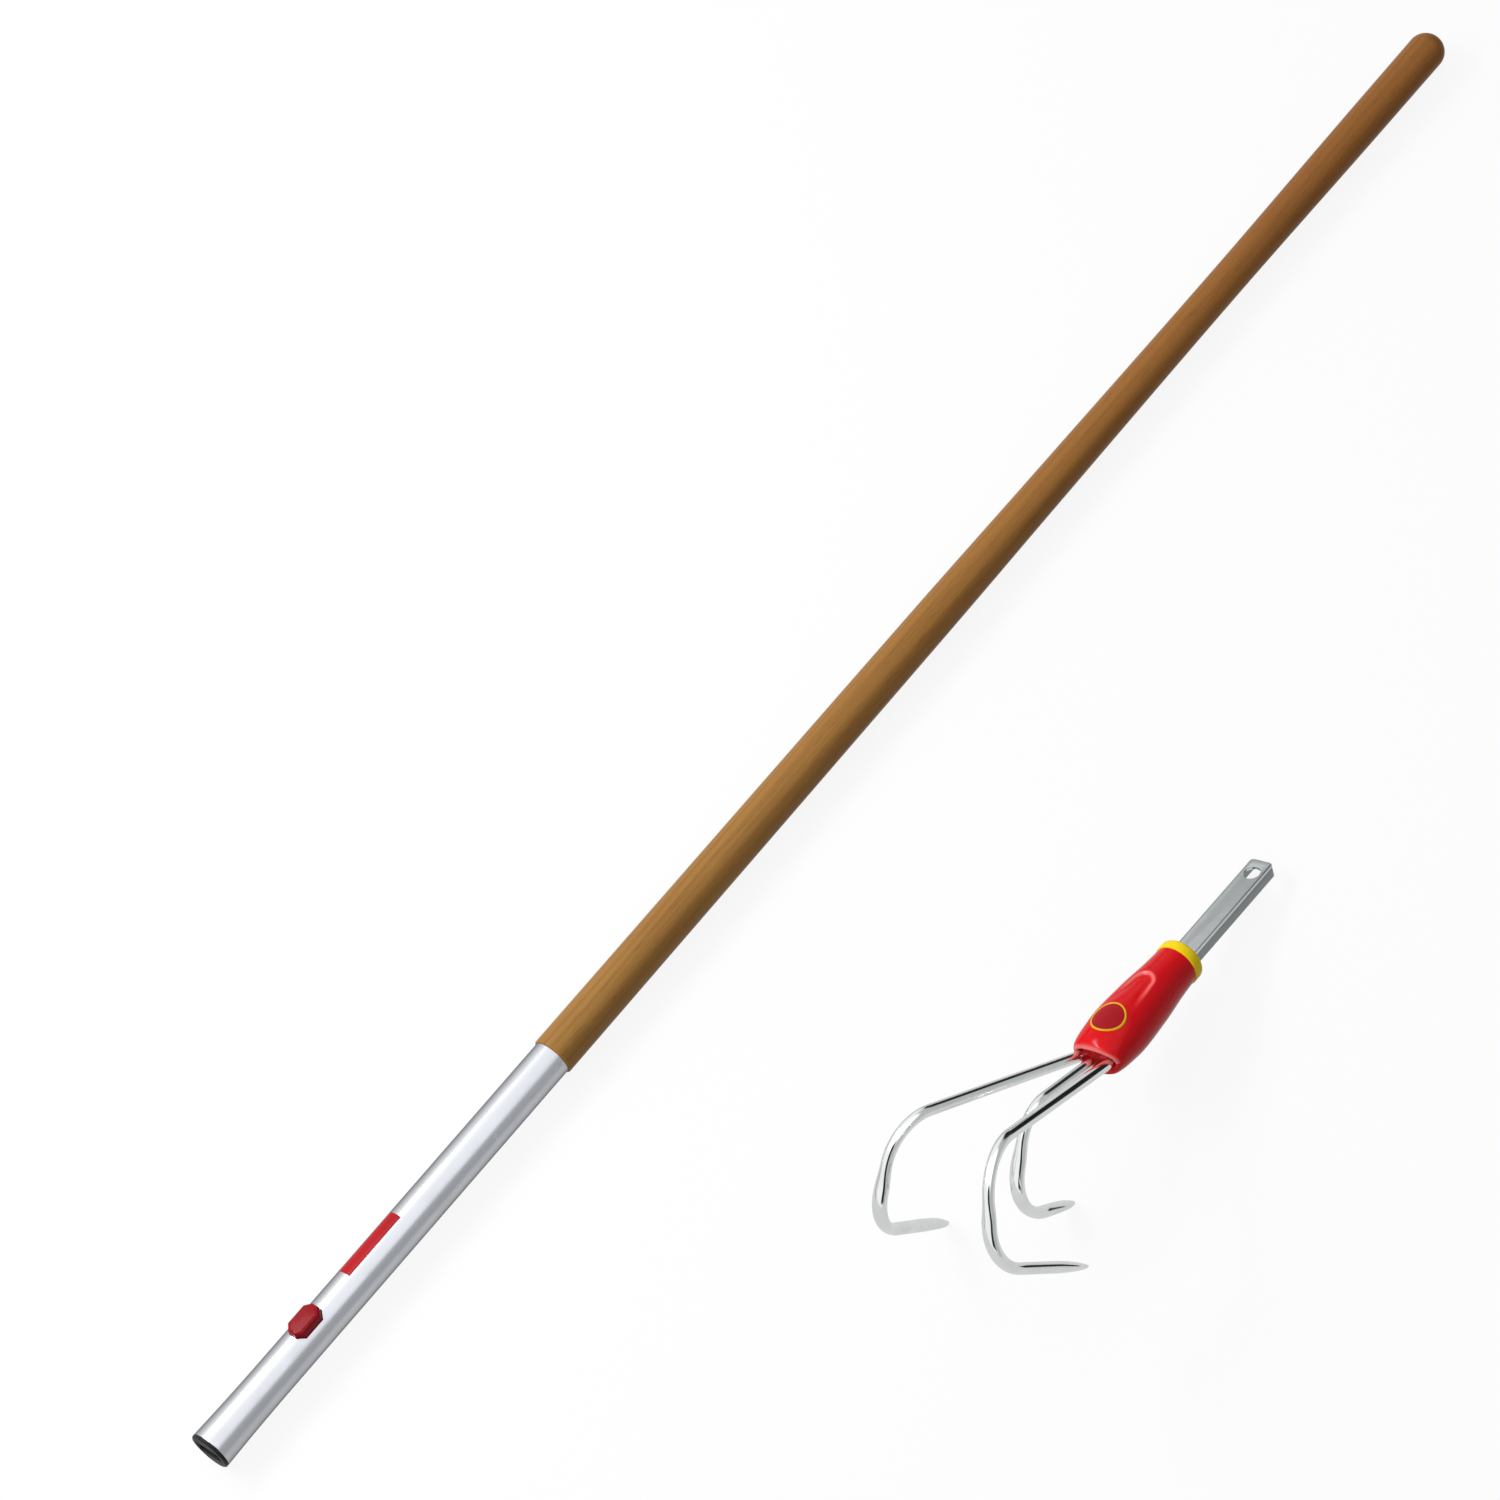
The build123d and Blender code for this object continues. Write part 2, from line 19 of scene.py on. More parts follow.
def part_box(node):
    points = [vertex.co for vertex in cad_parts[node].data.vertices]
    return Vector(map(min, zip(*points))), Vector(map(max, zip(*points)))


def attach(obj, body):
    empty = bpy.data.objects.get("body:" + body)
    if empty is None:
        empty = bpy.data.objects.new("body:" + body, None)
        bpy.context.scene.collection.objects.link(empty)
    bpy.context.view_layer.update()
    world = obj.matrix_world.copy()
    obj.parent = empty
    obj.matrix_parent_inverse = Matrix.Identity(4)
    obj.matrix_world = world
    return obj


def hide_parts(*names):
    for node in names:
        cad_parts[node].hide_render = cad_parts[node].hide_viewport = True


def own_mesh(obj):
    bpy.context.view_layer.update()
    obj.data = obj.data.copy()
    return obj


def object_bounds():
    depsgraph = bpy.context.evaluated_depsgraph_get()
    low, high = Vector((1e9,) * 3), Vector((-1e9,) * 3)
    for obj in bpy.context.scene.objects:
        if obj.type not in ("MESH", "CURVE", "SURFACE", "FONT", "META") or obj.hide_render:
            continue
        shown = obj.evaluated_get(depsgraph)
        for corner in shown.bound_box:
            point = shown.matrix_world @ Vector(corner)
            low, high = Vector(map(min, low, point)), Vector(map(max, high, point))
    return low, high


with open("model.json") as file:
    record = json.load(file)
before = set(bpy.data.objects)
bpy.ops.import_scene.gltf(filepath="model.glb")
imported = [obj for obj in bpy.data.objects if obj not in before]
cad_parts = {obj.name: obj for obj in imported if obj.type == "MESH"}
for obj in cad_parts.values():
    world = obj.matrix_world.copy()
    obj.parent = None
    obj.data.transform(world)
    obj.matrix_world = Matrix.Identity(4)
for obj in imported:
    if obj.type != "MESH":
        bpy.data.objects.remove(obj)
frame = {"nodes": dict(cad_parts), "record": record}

LOG = logging.getLogger("cultivator")
CAD_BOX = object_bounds()
MM = 0.001
MERGE = 0.001 * MM
# Name of the point attribute that carries a painted highlight.
PAINTED_HIGHLIGHT = "rub"

Colour = Tuple[float, float, float]
Triple = Tuple[float, float, float]
Pair = Tuple[float, float]
Station = Tuple[float, float]


class Body(Enum):
    """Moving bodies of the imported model."""

    HANDLE = "handle"
    LATCH = "latch"
    HEAD = "head"


class Wire:
    """An output socket on which Python's operators add Math nodes."""

    def __init__(self, sheet: "NodeSheet", socket: bpy.types.NodeSocket) -> None:
        """Keeps the sheet that the socket is on.

        Args:
            sheet: The material's node sheet.
            socket: The output socket to compute with.
        """
        self.sheet = sheet
        self.socket = socket

    def math(self, operation: str, first: "Value", second: "Value" = 0.0) -> "Wire":
        """Adds one Math node.

        Args:
            operation: Name of the node's operation.
            first: First operand.
            second: Second operand, where the operation has one.

        Returns:
            The node's result.
        """
        return self.sheet.node("ShaderNodeMath", {"operation": operation}, {0: first, 1: second})

    def __add__(self, other: "Value") -> "Wire":
        """Sum."""
        return self.math("ADD", self, other)

    def __radd__(self, other: "Value") -> "Wire":
        """Sum, with the number first."""
        return self.math("ADD", other, self)

    def __sub__(self, other: "Value") -> "Wire":
        """Difference."""
        return self.math("SUBTRACT", self, other)

    def __rsub__(self, other: "Value") -> "Wire":
        """Difference, with the number first."""
        return self.math("SUBTRACT", other, self)

    def __mul__(self, other: "Value") -> "Wire":
        """Product."""
        return self.math("MULTIPLY", self, other)

    def __rmul__(self, other: "Value") -> "Wire":
        """Product, with the number first."""
        return self.math("MULTIPLY", other, self)

    def __truediv__(self, other: "Value") -> "Wire":
        """Quotient."""
        return self.math("DIVIDE", self, other)

    def __pow__(self, other: "Value") -> "Wire":
        """Power."""
        return self.math("POWER", self, other)

    def sine(self) -> "Wire":
        """Sine of the value in radians."""
        return self.math("SINE", self)

    def root(self) -> "Wire":
        """Square root."""
        return self.math("SQRT", self)

    def step(self, low: float, high: float) -> "Wire":
        """Smooth step from 0 at low to 1 at high.

        Args:
            low: Value at which the step starts.
            high: Value at which it ends.

        Returns:
            The stepped value, from 0 to 1.
        """
        settings = {"interpolation_type": "SMOOTHSTEP"}
        sockets = {"Value": self, "From Min": low, "From Max": high, "To Min": 0.0, "To Max": 1.0}
        return self.sheet.node("ShaderNodeMapRange", settings, sockets)


Value = Union[float, Wire]


class NodeSheet:
    """A node tree that one method adds any node to."""

    def __init__(self, tree: bpy.types.NodeTree) -> None:
        """Empties the tree.

        Args:
            tree: Node tree of a material or of the world.
        """
        self.tree = tree
        self.tree.nodes.clear()

    def node(
        self,
        kind: str,
        settings: Optional[Dict[str, Any]] = None,
        sockets: Optional[Dict[Union[int, str], Any]] = None,
        out: Union[int, str] = 0,
    ) -> Wire:
        """Adds a node, sets its options and then its sockets.

        Args:
            kind: The node's type.
            settings: Options of the node; "stops" fills a colour ramp.
            sockets: Values or wires for its inputs, by name or number.
            out: Name or number of the output that is wanted.

        Returns:
            That output.
        """
        made = self.tree.nodes.new(kind)
        for name, value in (settings or {}).items():
            if name == "stops":
                self._fill_ramp(made.color_ramp, value)
            else:
                setattr(made, name, value)
        for key, value in (sockets or {}).items():
            self.feed(made.inputs[key], value)
        return Wire(self, made.outputs[out])

    def feed(self, socket: bpy.types.NodeSocket, value: Any) -> None:
        """Links a wire to a socket, or sets the socket's own value.

        Args:
            socket: Input socket.
            value: A wire, a number, a vector or a colour.
        """
        if isinstance(value, Wire):
            self.tree.links.new(value.socket, socket)
        elif socket.type == "RGBA" and len(value) == 3:
            socket.default_value = (*value, 1.0)
        else:
            socket.default_value = value

    @staticmethod
    def _fill_ramp(ramp: bpy.types.ColorRamp, stops: Sequence[Tuple[float, Colour]]) -> None:
        """Gives a colour ramp its stops.

        Args:
            ramp: The ramp, with its two first stops.
            stops: Place and colour of each stop, in order.
        """
        while len(ramp.elements) < len(stops):
            ramp.elements.new(1.0)
        for element, (place, colour) in zip(ramp.elements, stops):
            element.position = place
            element.color = (*colour, 1.0)

    def finish(self, kind: str, shader: Wire) -> None:
        """Joins a shader to the tree's output.

        Args:
            kind: Type of the output node.
            shader: The shader.
        """
        output = self.tree.nodes.new(kind)
        self.feed(output.inputs["Surface"], shader)

    def place(self, scale: Triple = (1.0, 1.0, 1.0)) -> Wire:
        """Object coordinates, stretched for a pattern.

        Args:
            scale: Pattern repeats per metre along each axis.

        Returns:
            The coordinates.
        """
        spot = self.node("ShaderNodeTexCoord", out="Object")
        return self.node("ShaderNodeMapping", {}, {"Vector": spot, "Scale": scale})

    def noise(self, spot: Wire, detail: float, roughness: float = 0.55, distortion: float = 0.0) -> Wire:
        """Noise of about one feature per unit of its coordinates.

        Args:
            spot: Coordinates.
            detail: Number of finer layers.
            roughness: Share that each finer layer keeps.
            distortion: How far the pattern is swirled.

        Returns:
            The noise, around 0.5.
        """
        sockets = {"Vector": spot, "Scale": 1.0, "Detail": detail, "Roughness": roughness}
        return self.node("ShaderNodeTexNoise", {}, {**sockets, "Distortion": distortion})

    def parts(self, spot: Wire) -> Tuple[Wire, Wire, Wire]:
        """Splits coordinates into their three numbers.

        Args:
            spot: Coordinates.

        Returns:
            Their x, y and z.
        """
        x = self.node("ShaderNodeSeparateXYZ", {}, {"Vector": spot})
        outputs = x.socket.node.outputs
        return x, Wire(self, outputs[1]), Wire(self, outputs[2])

    def blend(self, share: Value, first: Any, second: Any) -> Wire:
        """Mixes two colours.

        Args:
            share: Share of the second colour.
            first: Colour or wire at 0.
            second: Colour or wire at 1.

        Returns:
            The mixed colour.
        """
        return self.node("ShaderNodeMix", {"data_type": "RGBA"}, {0: share, 6: first, 7: second}, 2)

    def mix(self, share: Value, first: Wire, second: Wire) -> Wire:
        """Mixes two shaders.

        Args:
            share: Share of the second shader.
            first: Shader at 0.
            second: Shader at 1.

        Returns:
            The mixed shader.
        """
        return self.node("ShaderNodeMixShader", {}, {0: share, 1: first, 2: second})

    def bump(self, height: Wire, depth: float) -> Wire:
        """Normal of a surface raised by a height.

        Args:
            height: Height from 0 to 1.
            depth: Metres that a height of 1 stands for.

        Returns:
            The normal.
        """
        return self.node("ShaderNodeBump", {}, {"Strength": 1.0, "Distance": depth, "Height": height})


class Finish:
    """A surface finish, which makes its material once."""

    name: str = "finish"

    def paint(self, sheet: NodeSheet) -> Dict[str, Any]:
        """Works out the surface shader's sockets.

        Args:
            sheet: The material's node sheet.

        Returns:
            Values and wires by socket name.
        """
        raise NotImplementedError

    def material(self) -> bpy.types.Material:
        """Makes the finish's material, or gives the one that is there.

        Returns:
            The material.
        """
        there = bpy.data.materials.get(self.name)
        if there is not None:
            return there
        made = bpy.data.materials.new(self.name)
        made.use_nodes = True
        sheet = NodeSheet(made.node_tree)
        shader = sheet.node("ShaderNodeBsdfPrincipled", {}, self.paint(sheet))
        sheet.finish("ShaderNodeOutputMaterial", shader)
        return made


@dataclass(frozen=True)
class VarnishedAsh(Finish):
    """Brown-varnished ash, with its grain along the handle."""

    name: str = "ash_varnish"
    near_tube: Colour = (0.365, 0.186, 0.045)
    far_end: Colour = (0.315, 0.122, 0.025)
    late_wood: Colour = (0.20, 0.078, 0.016)
    pore: Colour = (0.11, 0.042, 0.010)
    tone_span: Pair = (0.35, 1.30)
    pith: Pair = (0.021, -0.012)
    ring_width: float = 0.0052
    ring_power: float = 2.2
    ring_share: float = 0.26
    drift: Triple = (3.2, 60.0, 60.0)
    drift_reach: float = 0.0085
    streaks: Triple = (5.0, 520.0, 520.0)
    streak_edge: Pair = (0.44, 0.80)
    streak_share: float = 0.42
    pores: Triple = (55.0, 3000.0, 3000.0)
    pore_edge: Pair = (0.60, 0.72)
    pore_share: float = 0.25
    pore_on_ring: float = 0.45
    clouds: Triple = (7.0, 45.0, 45.0)
    cloud_edge: Pair = (0.42, 0.70)
    cloud_share: float = 0.22
    roughness: float = 0.30
    spread: float = 0.16
    grain_depth: float = 0.08 * MM
    gloss: float = 0.12
    coat: float = 0.05
    coat_roughness: float = 0.2

    def paint(self, sheet: NodeSheet) -> Dict[str, Any]:
        """Growth rings, long streaks and fine pores under a coat of varnish.

        Args:
            sheet: The material's node sheet.

        Returns:
            Values and wires by socket name.
        """
        along, across, height = sheet.parts(sheet.place())
        drift = sheet.noise(sheet.place(self.drift), detail=3.0)
        from_pith = ((across - self.pith[0]) ** 2.0 + (height - self.pith[1]) ** 2.0).root()
        rings = ((from_pith + drift * self.drift_reach) * (2.0 * pi / self.ring_width)).sine() * 0.5 + 0.5
        streaks = sheet.noise(sheet.place(self.streaks), detail=5.0, roughness=0.62, distortion=0.4)
        pores = sheet.noise(sheet.place(self.pores), detail=2.0).step(*self.pore_edge)
        clouds = sheet.noise(sheet.place(self.clouds), detail=2.0).step(*self.cloud_edge)
        ground = sheet.blend(along.step(*self.tone_span), self.near_tube, self.far_end)
        ringed = rings ** self.ring_power * self.ring_share
        streaked = streaks.step(*self.streak_edge) * self.streak_share
        grained = sheet.blend(ringed + streaked, ground, self.late_wood)
        pored = sheet.blend(pores * (self.pore_share + rings * self.pore_on_ring), grained, self.pore)
        return {
            "Base Color": sheet.blend(clouds * self.cloud_share, pored, self.late_wood),
            "Roughness": self.roughness + streaks * self.spread,
            "Normal": sheet.bump(streaks * 0.5 - pores * 0.5, self.grain_depth),
            "Specular IOR Level": self.gloss,
            "Coat Weight": self.coat,
            "Coat Roughness": self.coat_roughness,
        }


@dataclass(frozen=True)
class DrawnMetal(Finish):
    """Bare metal with fine lines along one direction and soft smudges."""

    name: str = "metal"
    tone: Colour = (0.80, 0.80, 0.83)
    dull: Colour = (0.66, 0.67, 0.70)
    roughness: float = 0.30
    spread: float = 0.10
    lines: Triple = (9.0, 1500.0, 1500.0)
    line_depth: float = 0.012 * MM
    smudges: float = 38.0
    edge: Colour = (1.0, 1.0, 1.0)
    smudge_edge: Pair = (0.40, 0.72)
    smudge_share: float = 0.6
    line_share: float = 0.3

    def paint(self, sheet: NodeSheet) -> Dict[str, Any]:
        """Lines and smudges that change the tone, the gloss and the surface.

        Args:
            sheet: The material's node sheet.

        Returns:
            Values and wires by socket name.
        """
        lines = sheet.noise(sheet.place(self.lines), detail=3.0)
        worn = sheet.noise(sheet.place((self.smudges,) * 3), detail=4.0).step(*self.smudge_edge)
        dulled = worn * self.smudge_share + lines * self.line_share
        return {
            "Base Color": sheet.blend(dulled, self.tone, self.dull),
            "Metallic": 1.0,
            "Roughness": self.roughness + worn * self.spread + (lines - 0.5) * self.spread,
            "Normal": sheet.bump(lines, self.line_depth),
            "Specular Tint": self.edge,
        }


@dataclass(frozen=True)
class GalvanisedSheet(Finish):
    """Zinc-coated sheet with a faint mottle, with painted highlight and painted shade across its folds
    and flanks.
    """

    name: str = "galvanised_sheet"
    tone: Colour = (0.54, 0.575, 0.58)
    dull: Colour = (0.48, 0.51, 0.52)
    crystals: float = 210.0
    crystal_share: float = 0.35
    crystal_spread: float = 0.03
    scratches: Triple = (30.0, 1400.0, 1400.0)
    scratch_share: float = 0.2
    scratch_spread: float = 0.04
    scratch_depth: float = 0.0015 * MM
    roughness: float = 0.32
    # Painted light on the folds and flanks: a dark line and a pale band stand in for reflections, and the
    # flank tone for shade.
    painted_dark_fold_line: Colour = (0.15, 0.17, 0.175)
    fold: Colour = (0.86, 0.89, 0.90)
    painted_flank_shade: Colour = (0.26, 0.28, 0.285)
    painted_fold_start: Pair = (0.02, 0.08)
    painted_fold_stops: Sequence[float] = (0.04, 0.16, 0.34, 0.80, 0.96)
    across: Triple = (0.0, 1.0, 0.0)

    def paint(self, sheet: NodeSheet) -> Dict[str, Any]:
        """Crystal cells, drag marks along the sheet, and across the folds and flanks a painted dark line,
        a painted pale highlight band and painted shade.

        Args:
            sheet: The material's node sheet.

        Returns:
            Values and wires by socket name.
        """
        # Painted light: how far the surface faces sideways picks the painted dark line, the pale
        # highlight band and the flank shade.
        facing = sheet.node("ShaderNodeNewGeometry", out="Normal")
        product = {"operation": "DOT_PRODUCT"}
        aside = sheet.node("ShaderNodeVectorMath", product, {0: facing, 1: self.across}, "Value")
        turned = aside * aside
        colours = (self.painted_dark_fold_line, self.painted_dark_fold_line, self.fold, self.fold, self.painted_flank_shade)
        stops = list(zip(self.painted_fold_stops, colours))
        flank = sheet.node("ShaderNodeValToRGB", {"stops": stops}, {0: turned})
        spot = sheet.place((self.crystals,) * 3)
        cells = sheet.node("ShaderNodeTexVoronoi", {}, {"Vector": spot, "Scale": 1.0}, "Color")
        shade, _, _ = sheet.parts(cells)
        marks = sheet.noise(sheet.place(self.scratches), detail=3.0)
        web = sheet.blend(shade * self.crystal_share + marks * self.scratch_share, self.tone, self.dull)
        mottled = self.roughness + shade * self.crystal_spread
        return {
            "Base Color": sheet.blend(turned.step(*self.painted_fold_start), web, flank),
            "Metallic": 1.0,
            "Roughness": mottled + (marks - 0.5) * self.scratch_spread,
            "Normal": sheet.bump(marks, self.scratch_depth),
        }


@dataclass(frozen=True)
class MouldedPlastic(Finish):
    """Moulded plastic with a fine skin, handling marks and faint flow in its colour."""

    name: str = "plastic"
    tone: Colour = (0.69, 0.002, 0.007)
    flow: Colour = (0.64, 0.002, 0.005)
    roughness: float = 0.17
    spread: float = 0.06
    skin: float = 1400.0
    skin_depth: float = 0.003 * MM
    marks: float = 90.0
    mark_edge: Pair = (0.45, 0.75)
    flow_edge: Pair = (0.35, 0.70)
    gloss: float = 0.14
    coat: float = 0.01
    coat_roughness: float = 0.10
    # Pale tone of a painted highlight, mixed in by a point attribute of the piece.
    painted_highlight_tone: Optional[Colour] = None
    painted_highlight_least: float = 0.8
    painted_highlight_spread: float = 0.4

    def paint(self, sheet: NodeSheet) -> Dict[str, Any]:
        """Fine skin, flow and handling marks, and a painted pale highlight where the piece's point
        attribute asks for it.

        Args:
            sheet: The material's node sheet.

        Returns:
            Values and wires by socket name.
        """
        skin = sheet.noise(sheet.place((self.skin,) * 3), detail=2.0)
        flow = sheet.noise(sheet.place((self.marks * 0.5,) * 3), detail=2.0)
        marks = sheet.noise(sheet.place((self.marks,) * 3), detail=5.0, roughness=0.65)
        colour = sheet.blend(flow.step(*self.flow_edge), self.tone, self.flow)
        # Painted highlight: the pale tone is mixed in where the piece's point attribute says, standing in
        # for reflections of the lamp.
        if self.painted_highlight_tone is not None:
            rub = sheet.node("ShaderNodeAttribute", {"attribute_name": PAINTED_HIGHLIGHT}, out="Fac")
            colour = sheet.blend(rub * (self.painted_highlight_least + marks * self.painted_highlight_spread), colour, self.painted_highlight_tone)
        worn = marks.step(*self.mark_edge)
        return {
            "Base Color": colour,
            "Roughness": self.roughness + worn * self.spread + (skin - 0.5) * self.spread,
            "Normal": sheet.bump(skin, self.skin_depth),
            "Specular IOR Level": self.gloss,
            "Coat Weight": self.coat,
            "Coat Roughness": self.coat_roughness,
        }


class Finishes:
    """The finishes of this tool, each used by one kind of piece."""

    ash = VarnishedAsh()
    tube = DrawnMetal(
        "satin_tube", (0.62, 0.63, 0.66), (0.57, 0.58, 0.61), 0.27, 0.05,
        line_depth=0.004 * MM, edge=(0.25, 0.25, 0.26),
    )
    rivet = DrawnMetal("rivet_metal", (0.66, 0.66, 0.69), (0.52, 0.52, 0.55), 0.38, 0.10)
    rod = DrawnMetal(
        "bright_plate", (0.87, 0.89, 0.885), (0.78, 0.80, 0.79), 0.10, 0.03,
        lines=(130.0, 130.0, 130.0), line_depth=0.001 * MM, smudges=60.0,
    )
    leaf = DrawnMetal("leaf_spring_steel", (0.50, 0.50, 0.52), (0.36, 0.36, 0.38), 0.34, 0.10)
    weld = DrawnMetal(
        "weld_metal", (0.36, 0.35, 0.34), (0.20, 0.18, 0.16), 0.50, 0.15,
        lines=(900.0, 900.0, 900.0), line_depth=0.2 * MM, smudges=300.0,
    )
    # The sleeve's pale edges are a painted highlight.
    sleeve = MouldedPlastic("sleeve_gloss_red", painted_highlight_tone=(0.90, 0.30, 0.28))
    button = MouldedPlastic("button_gloss_red", (0.29, 0.002, 0.009), (0.25, 0.002, 0.007), 0.26, 0.08)
    collar = MouldedPlastic("collar_yellow_gloss", (0.92, 0.68, 0.006), (0.86, 0.62, 0.004), 0.28, 0.08)
    ring = MouldedPlastic("ring_yellow_gloss", (0.80, 0.46, 0.01), (0.74, 0.40, 0.008), 0.26, 0.08)
    pad = MouldedPlastic("pad_red_satin", (0.40, 0.006, 0.012), (0.34, 0.004, 0.010), 0.34, 0.08)
    band = MouldedPlastic("printed_band_red", (0.42, 0.006, 0.011), (0.37, 0.005, 0.009), 0.34, 0.08)
    guide = MouldedPlastic(
        "guide_black", (0.014, 0.015, 0.017), (0.020, 0.021, 0.023), 0.46, 0.10, 1800.0, 0.04 * MM
    )
    carrier = MouldedPlastic(
        "carrier_black", (0.022, 0.022, 0.024), (0.03, 0.03, 0.032), 0.52, 0.10, 1800.0, 0.04 * MM
    )
    hook = MouldedPlastic("hook_grey", (0.07, 0.07, 0.075), (0.055, 0.055, 0.06), 0.42, 0.10)


class Bench:
    """Modelling moves, as by hand, on one piece at a time."""

    @staticmethod
    def clear() -> None:
        """Leaves edit mode and deselects everything."""
        if bpy.context.mode != "OBJECT":
            bpy.ops.object.mode_set(mode="OBJECT")
        bpy.ops.object.select_all(action="DESELECT")

    @staticmethod
    def take(piece: bpy.types.Object) -> None:
        """Makes one piece the selected and active one.

        Args:
            piece: The piece to work on.
        """
        Bench.clear()
        piece.select_set(True)
        bpy.context.view_layer.objects.active = piece

    @staticmethod
    def named(name: str) -> bpy.types.Object:
        """Names the piece that was just added.

        Args:
            name: The piece's name.

        Returns:
            The piece.
        """
        piece = bpy.context.object
        piece.name = name
        piece.data.name = name
        return piece

    @staticmethod
    def ring(name: str, sides: int, radius: float, at_x: float = 0.0) -> bpy.types.Object:
        """Starts a piece as an open ring square to X, left in edit mode with the ring selected.

        Args:
            name: The piece's name.
            sides: Points on the ring.
            radius: Its radius.
            at_x: Its place along X.

        Returns:
            The piece.
        """
        Bench.clear()
        square = (0.0, pi / 2, 0.0)
        bpy.ops.mesh.primitive_circle_add(
            vertices=sides, radius=radius, fill_type="NOTHING", location=(at_x, 0.0, 0.0), rotation=square
        )
        piece = Bench.named(name)
        bpy.ops.object.transform_apply(location=True, rotation=True, scale=True)
        bpy.ops.object.mode_set(mode="EDIT")
        bpy.ops.mesh.select_all(action="SELECT")
        return piece

    @staticmethod
    def extrude(step: Vector) -> None:
        """Extrudes the selected ring by a step.

        Args:
            step: Movement of the new ring.
        """
        bpy.ops.mesh.extrude_region_move(TRANSFORM_OT_translate={"value": tuple(step)})

    @staticmethod
    def resize(factors: Triple, centre: Triple) -> None:
        """Scales the selected points about a centre.

        Args:
            factors: Scale along each axis.
            centre: Point that stays.
        """
        bpy.ops.transform.resize(value=factors, center_override=centre)

    @staticmethod
    def outline(name: str, points: Sequence[Vector]) -> bpy.types.Object:
        """Starts a piece as a closed loop through points, left in edit mode with the loop selected.

        Args:
            name: The piece's name.
            points: The loop's points, in order.

        Returns:
            The piece.
        """
        Bench.clear()
        bpy.ops.mesh.primitive_circle_add(vertices=len(points), radius=1.0, fill_type="NOTHING")
        piece = Bench.named(name)
        for corner, point in zip(piece.data.vertices, points):
            corner.co = point
        bpy.ops.object.mode_set(mode="EDIT")
        bpy.ops.mesh.select_all(action="SELECT")
        return piece

    @staticmethod
    def lofted(name: str, sides: int, sections: Sequence[Triple]) -> bpy.types.Object:
        """Extrudes a ring along X through oval sections.

        Args:
            name: The piece's name.
            sides: Points on the ring.
            sections: Place, half width along Y and half height along Z of each section.

        Returns:
            The piece, with its ends open.
        """
        place, wide, high = sections[0]
        piece = Bench.ring(name, sides, 1.0, place)
        Bench.resize((1.0, wide, high), (place, 0.0, 0.0))
        for section in sections[1:]:
            Bench.extrude(Vector((section[0] - place, 0.0, 0.0)))
            Bench.resize((1.0, section[1] / wide, section[2] / high), (section[0], 0.0, 0.0))
            place, wide, high = section
        return piece

    @staticmethod
    def turned(name: str, sides: int, stations: Sequence[Station]) -> bpy.types.Object:
        """Extrudes a round ring along X through stations, as on a lathe.

        Args:
            name: The piece's name.
            sides: Points on the ring.
            stations: Place and radius of each ring.

        Returns:
            The piece, with its ends open.
        """
        return Bench.lofted(name, sides, [(place, radius, radius) for place, radius in stations])

    @staticmethod
    def bend(start: Vector, ahead: Vector, turned: Vector, radius: float, steps: int) -> Vector:
        """Spins the selected ring round a bend.

        Args:
            start: Middle of the ring.
            ahead: Direction that the bend starts in.
            turned: Direction that it ends in.
            radius: The bend's radius.
            steps: Rings along the bend.

        Returns:
            Middle of the last ring.
        """
        inward = (turned - ahead * ahead.dot(turned)).normalized()
        centre = start + inward * radius
        angle = ahead.angle(turned)
        axis = tuple(inward.cross(ahead))
        bpy.ops.mesh.spin(steps=steps, angle=angle, center=tuple(centre), axis=axis)
        return centre - inward * radius * cos(angle) + ahead * radius * sin(angle)

    @staticmethod
    def cut(piece: bpy.types.Object, tool: bpy.types.Object, operation: str = "DIFFERENCE") -> None:
        """Cuts a piece with a tool, which is used up.

        Args:
            piece: The piece.
            tool: A closed piece to cut with.
            operation: Kind of cut.
        """
        Bench.modify(piece, "BOOLEAN", operation=operation, object=tool, solver="EXACT")
        bpy.data.objects.remove(tool)

    @staticmethod
    def join(piece: bpy.types.Object, other: bpy.types.Object) -> None:
        """Joins a second piece to a first.

        Args:
            piece: The piece that stays.
            other: The piece that becomes part of it.
        """
        Bench.take(piece)
        other.select_set(True)
        bpy.ops.object.join()

    @staticmethod
    def prism(name: str, points: Sequence[Vector], height: Vector) -> bpy.types.Object:
        """Makes a closed prism from an outline.

        Args:
            name: The piece's name.
            points: The outline's points, in order.
            height: Movement from the first face to the second.

        Returns:
            The prism.
        """
        piece = Bench.outline(name, points)
        Bench.extrude(height)
        Bench.close_up(piece, smooth=30.0)
        return piece

    @staticmethod
    def block(name: str, middle: Triple, half: Triple) -> bpy.types.Object:
        """Makes a closed block, square to the axes.

        Args:
            name: The piece's name.
            middle: The block's middle.
            half: Half of its size along each axis.

        Returns:
            The block.
        """
        Bench.clear()
        bpy.ops.mesh.primitive_cube_add(size=2.0, location=middle, scale=half)
        piece = Bench.named(name)
        bpy.ops.object.transform_apply(location=True, rotation=True, scale=True)
        return piece

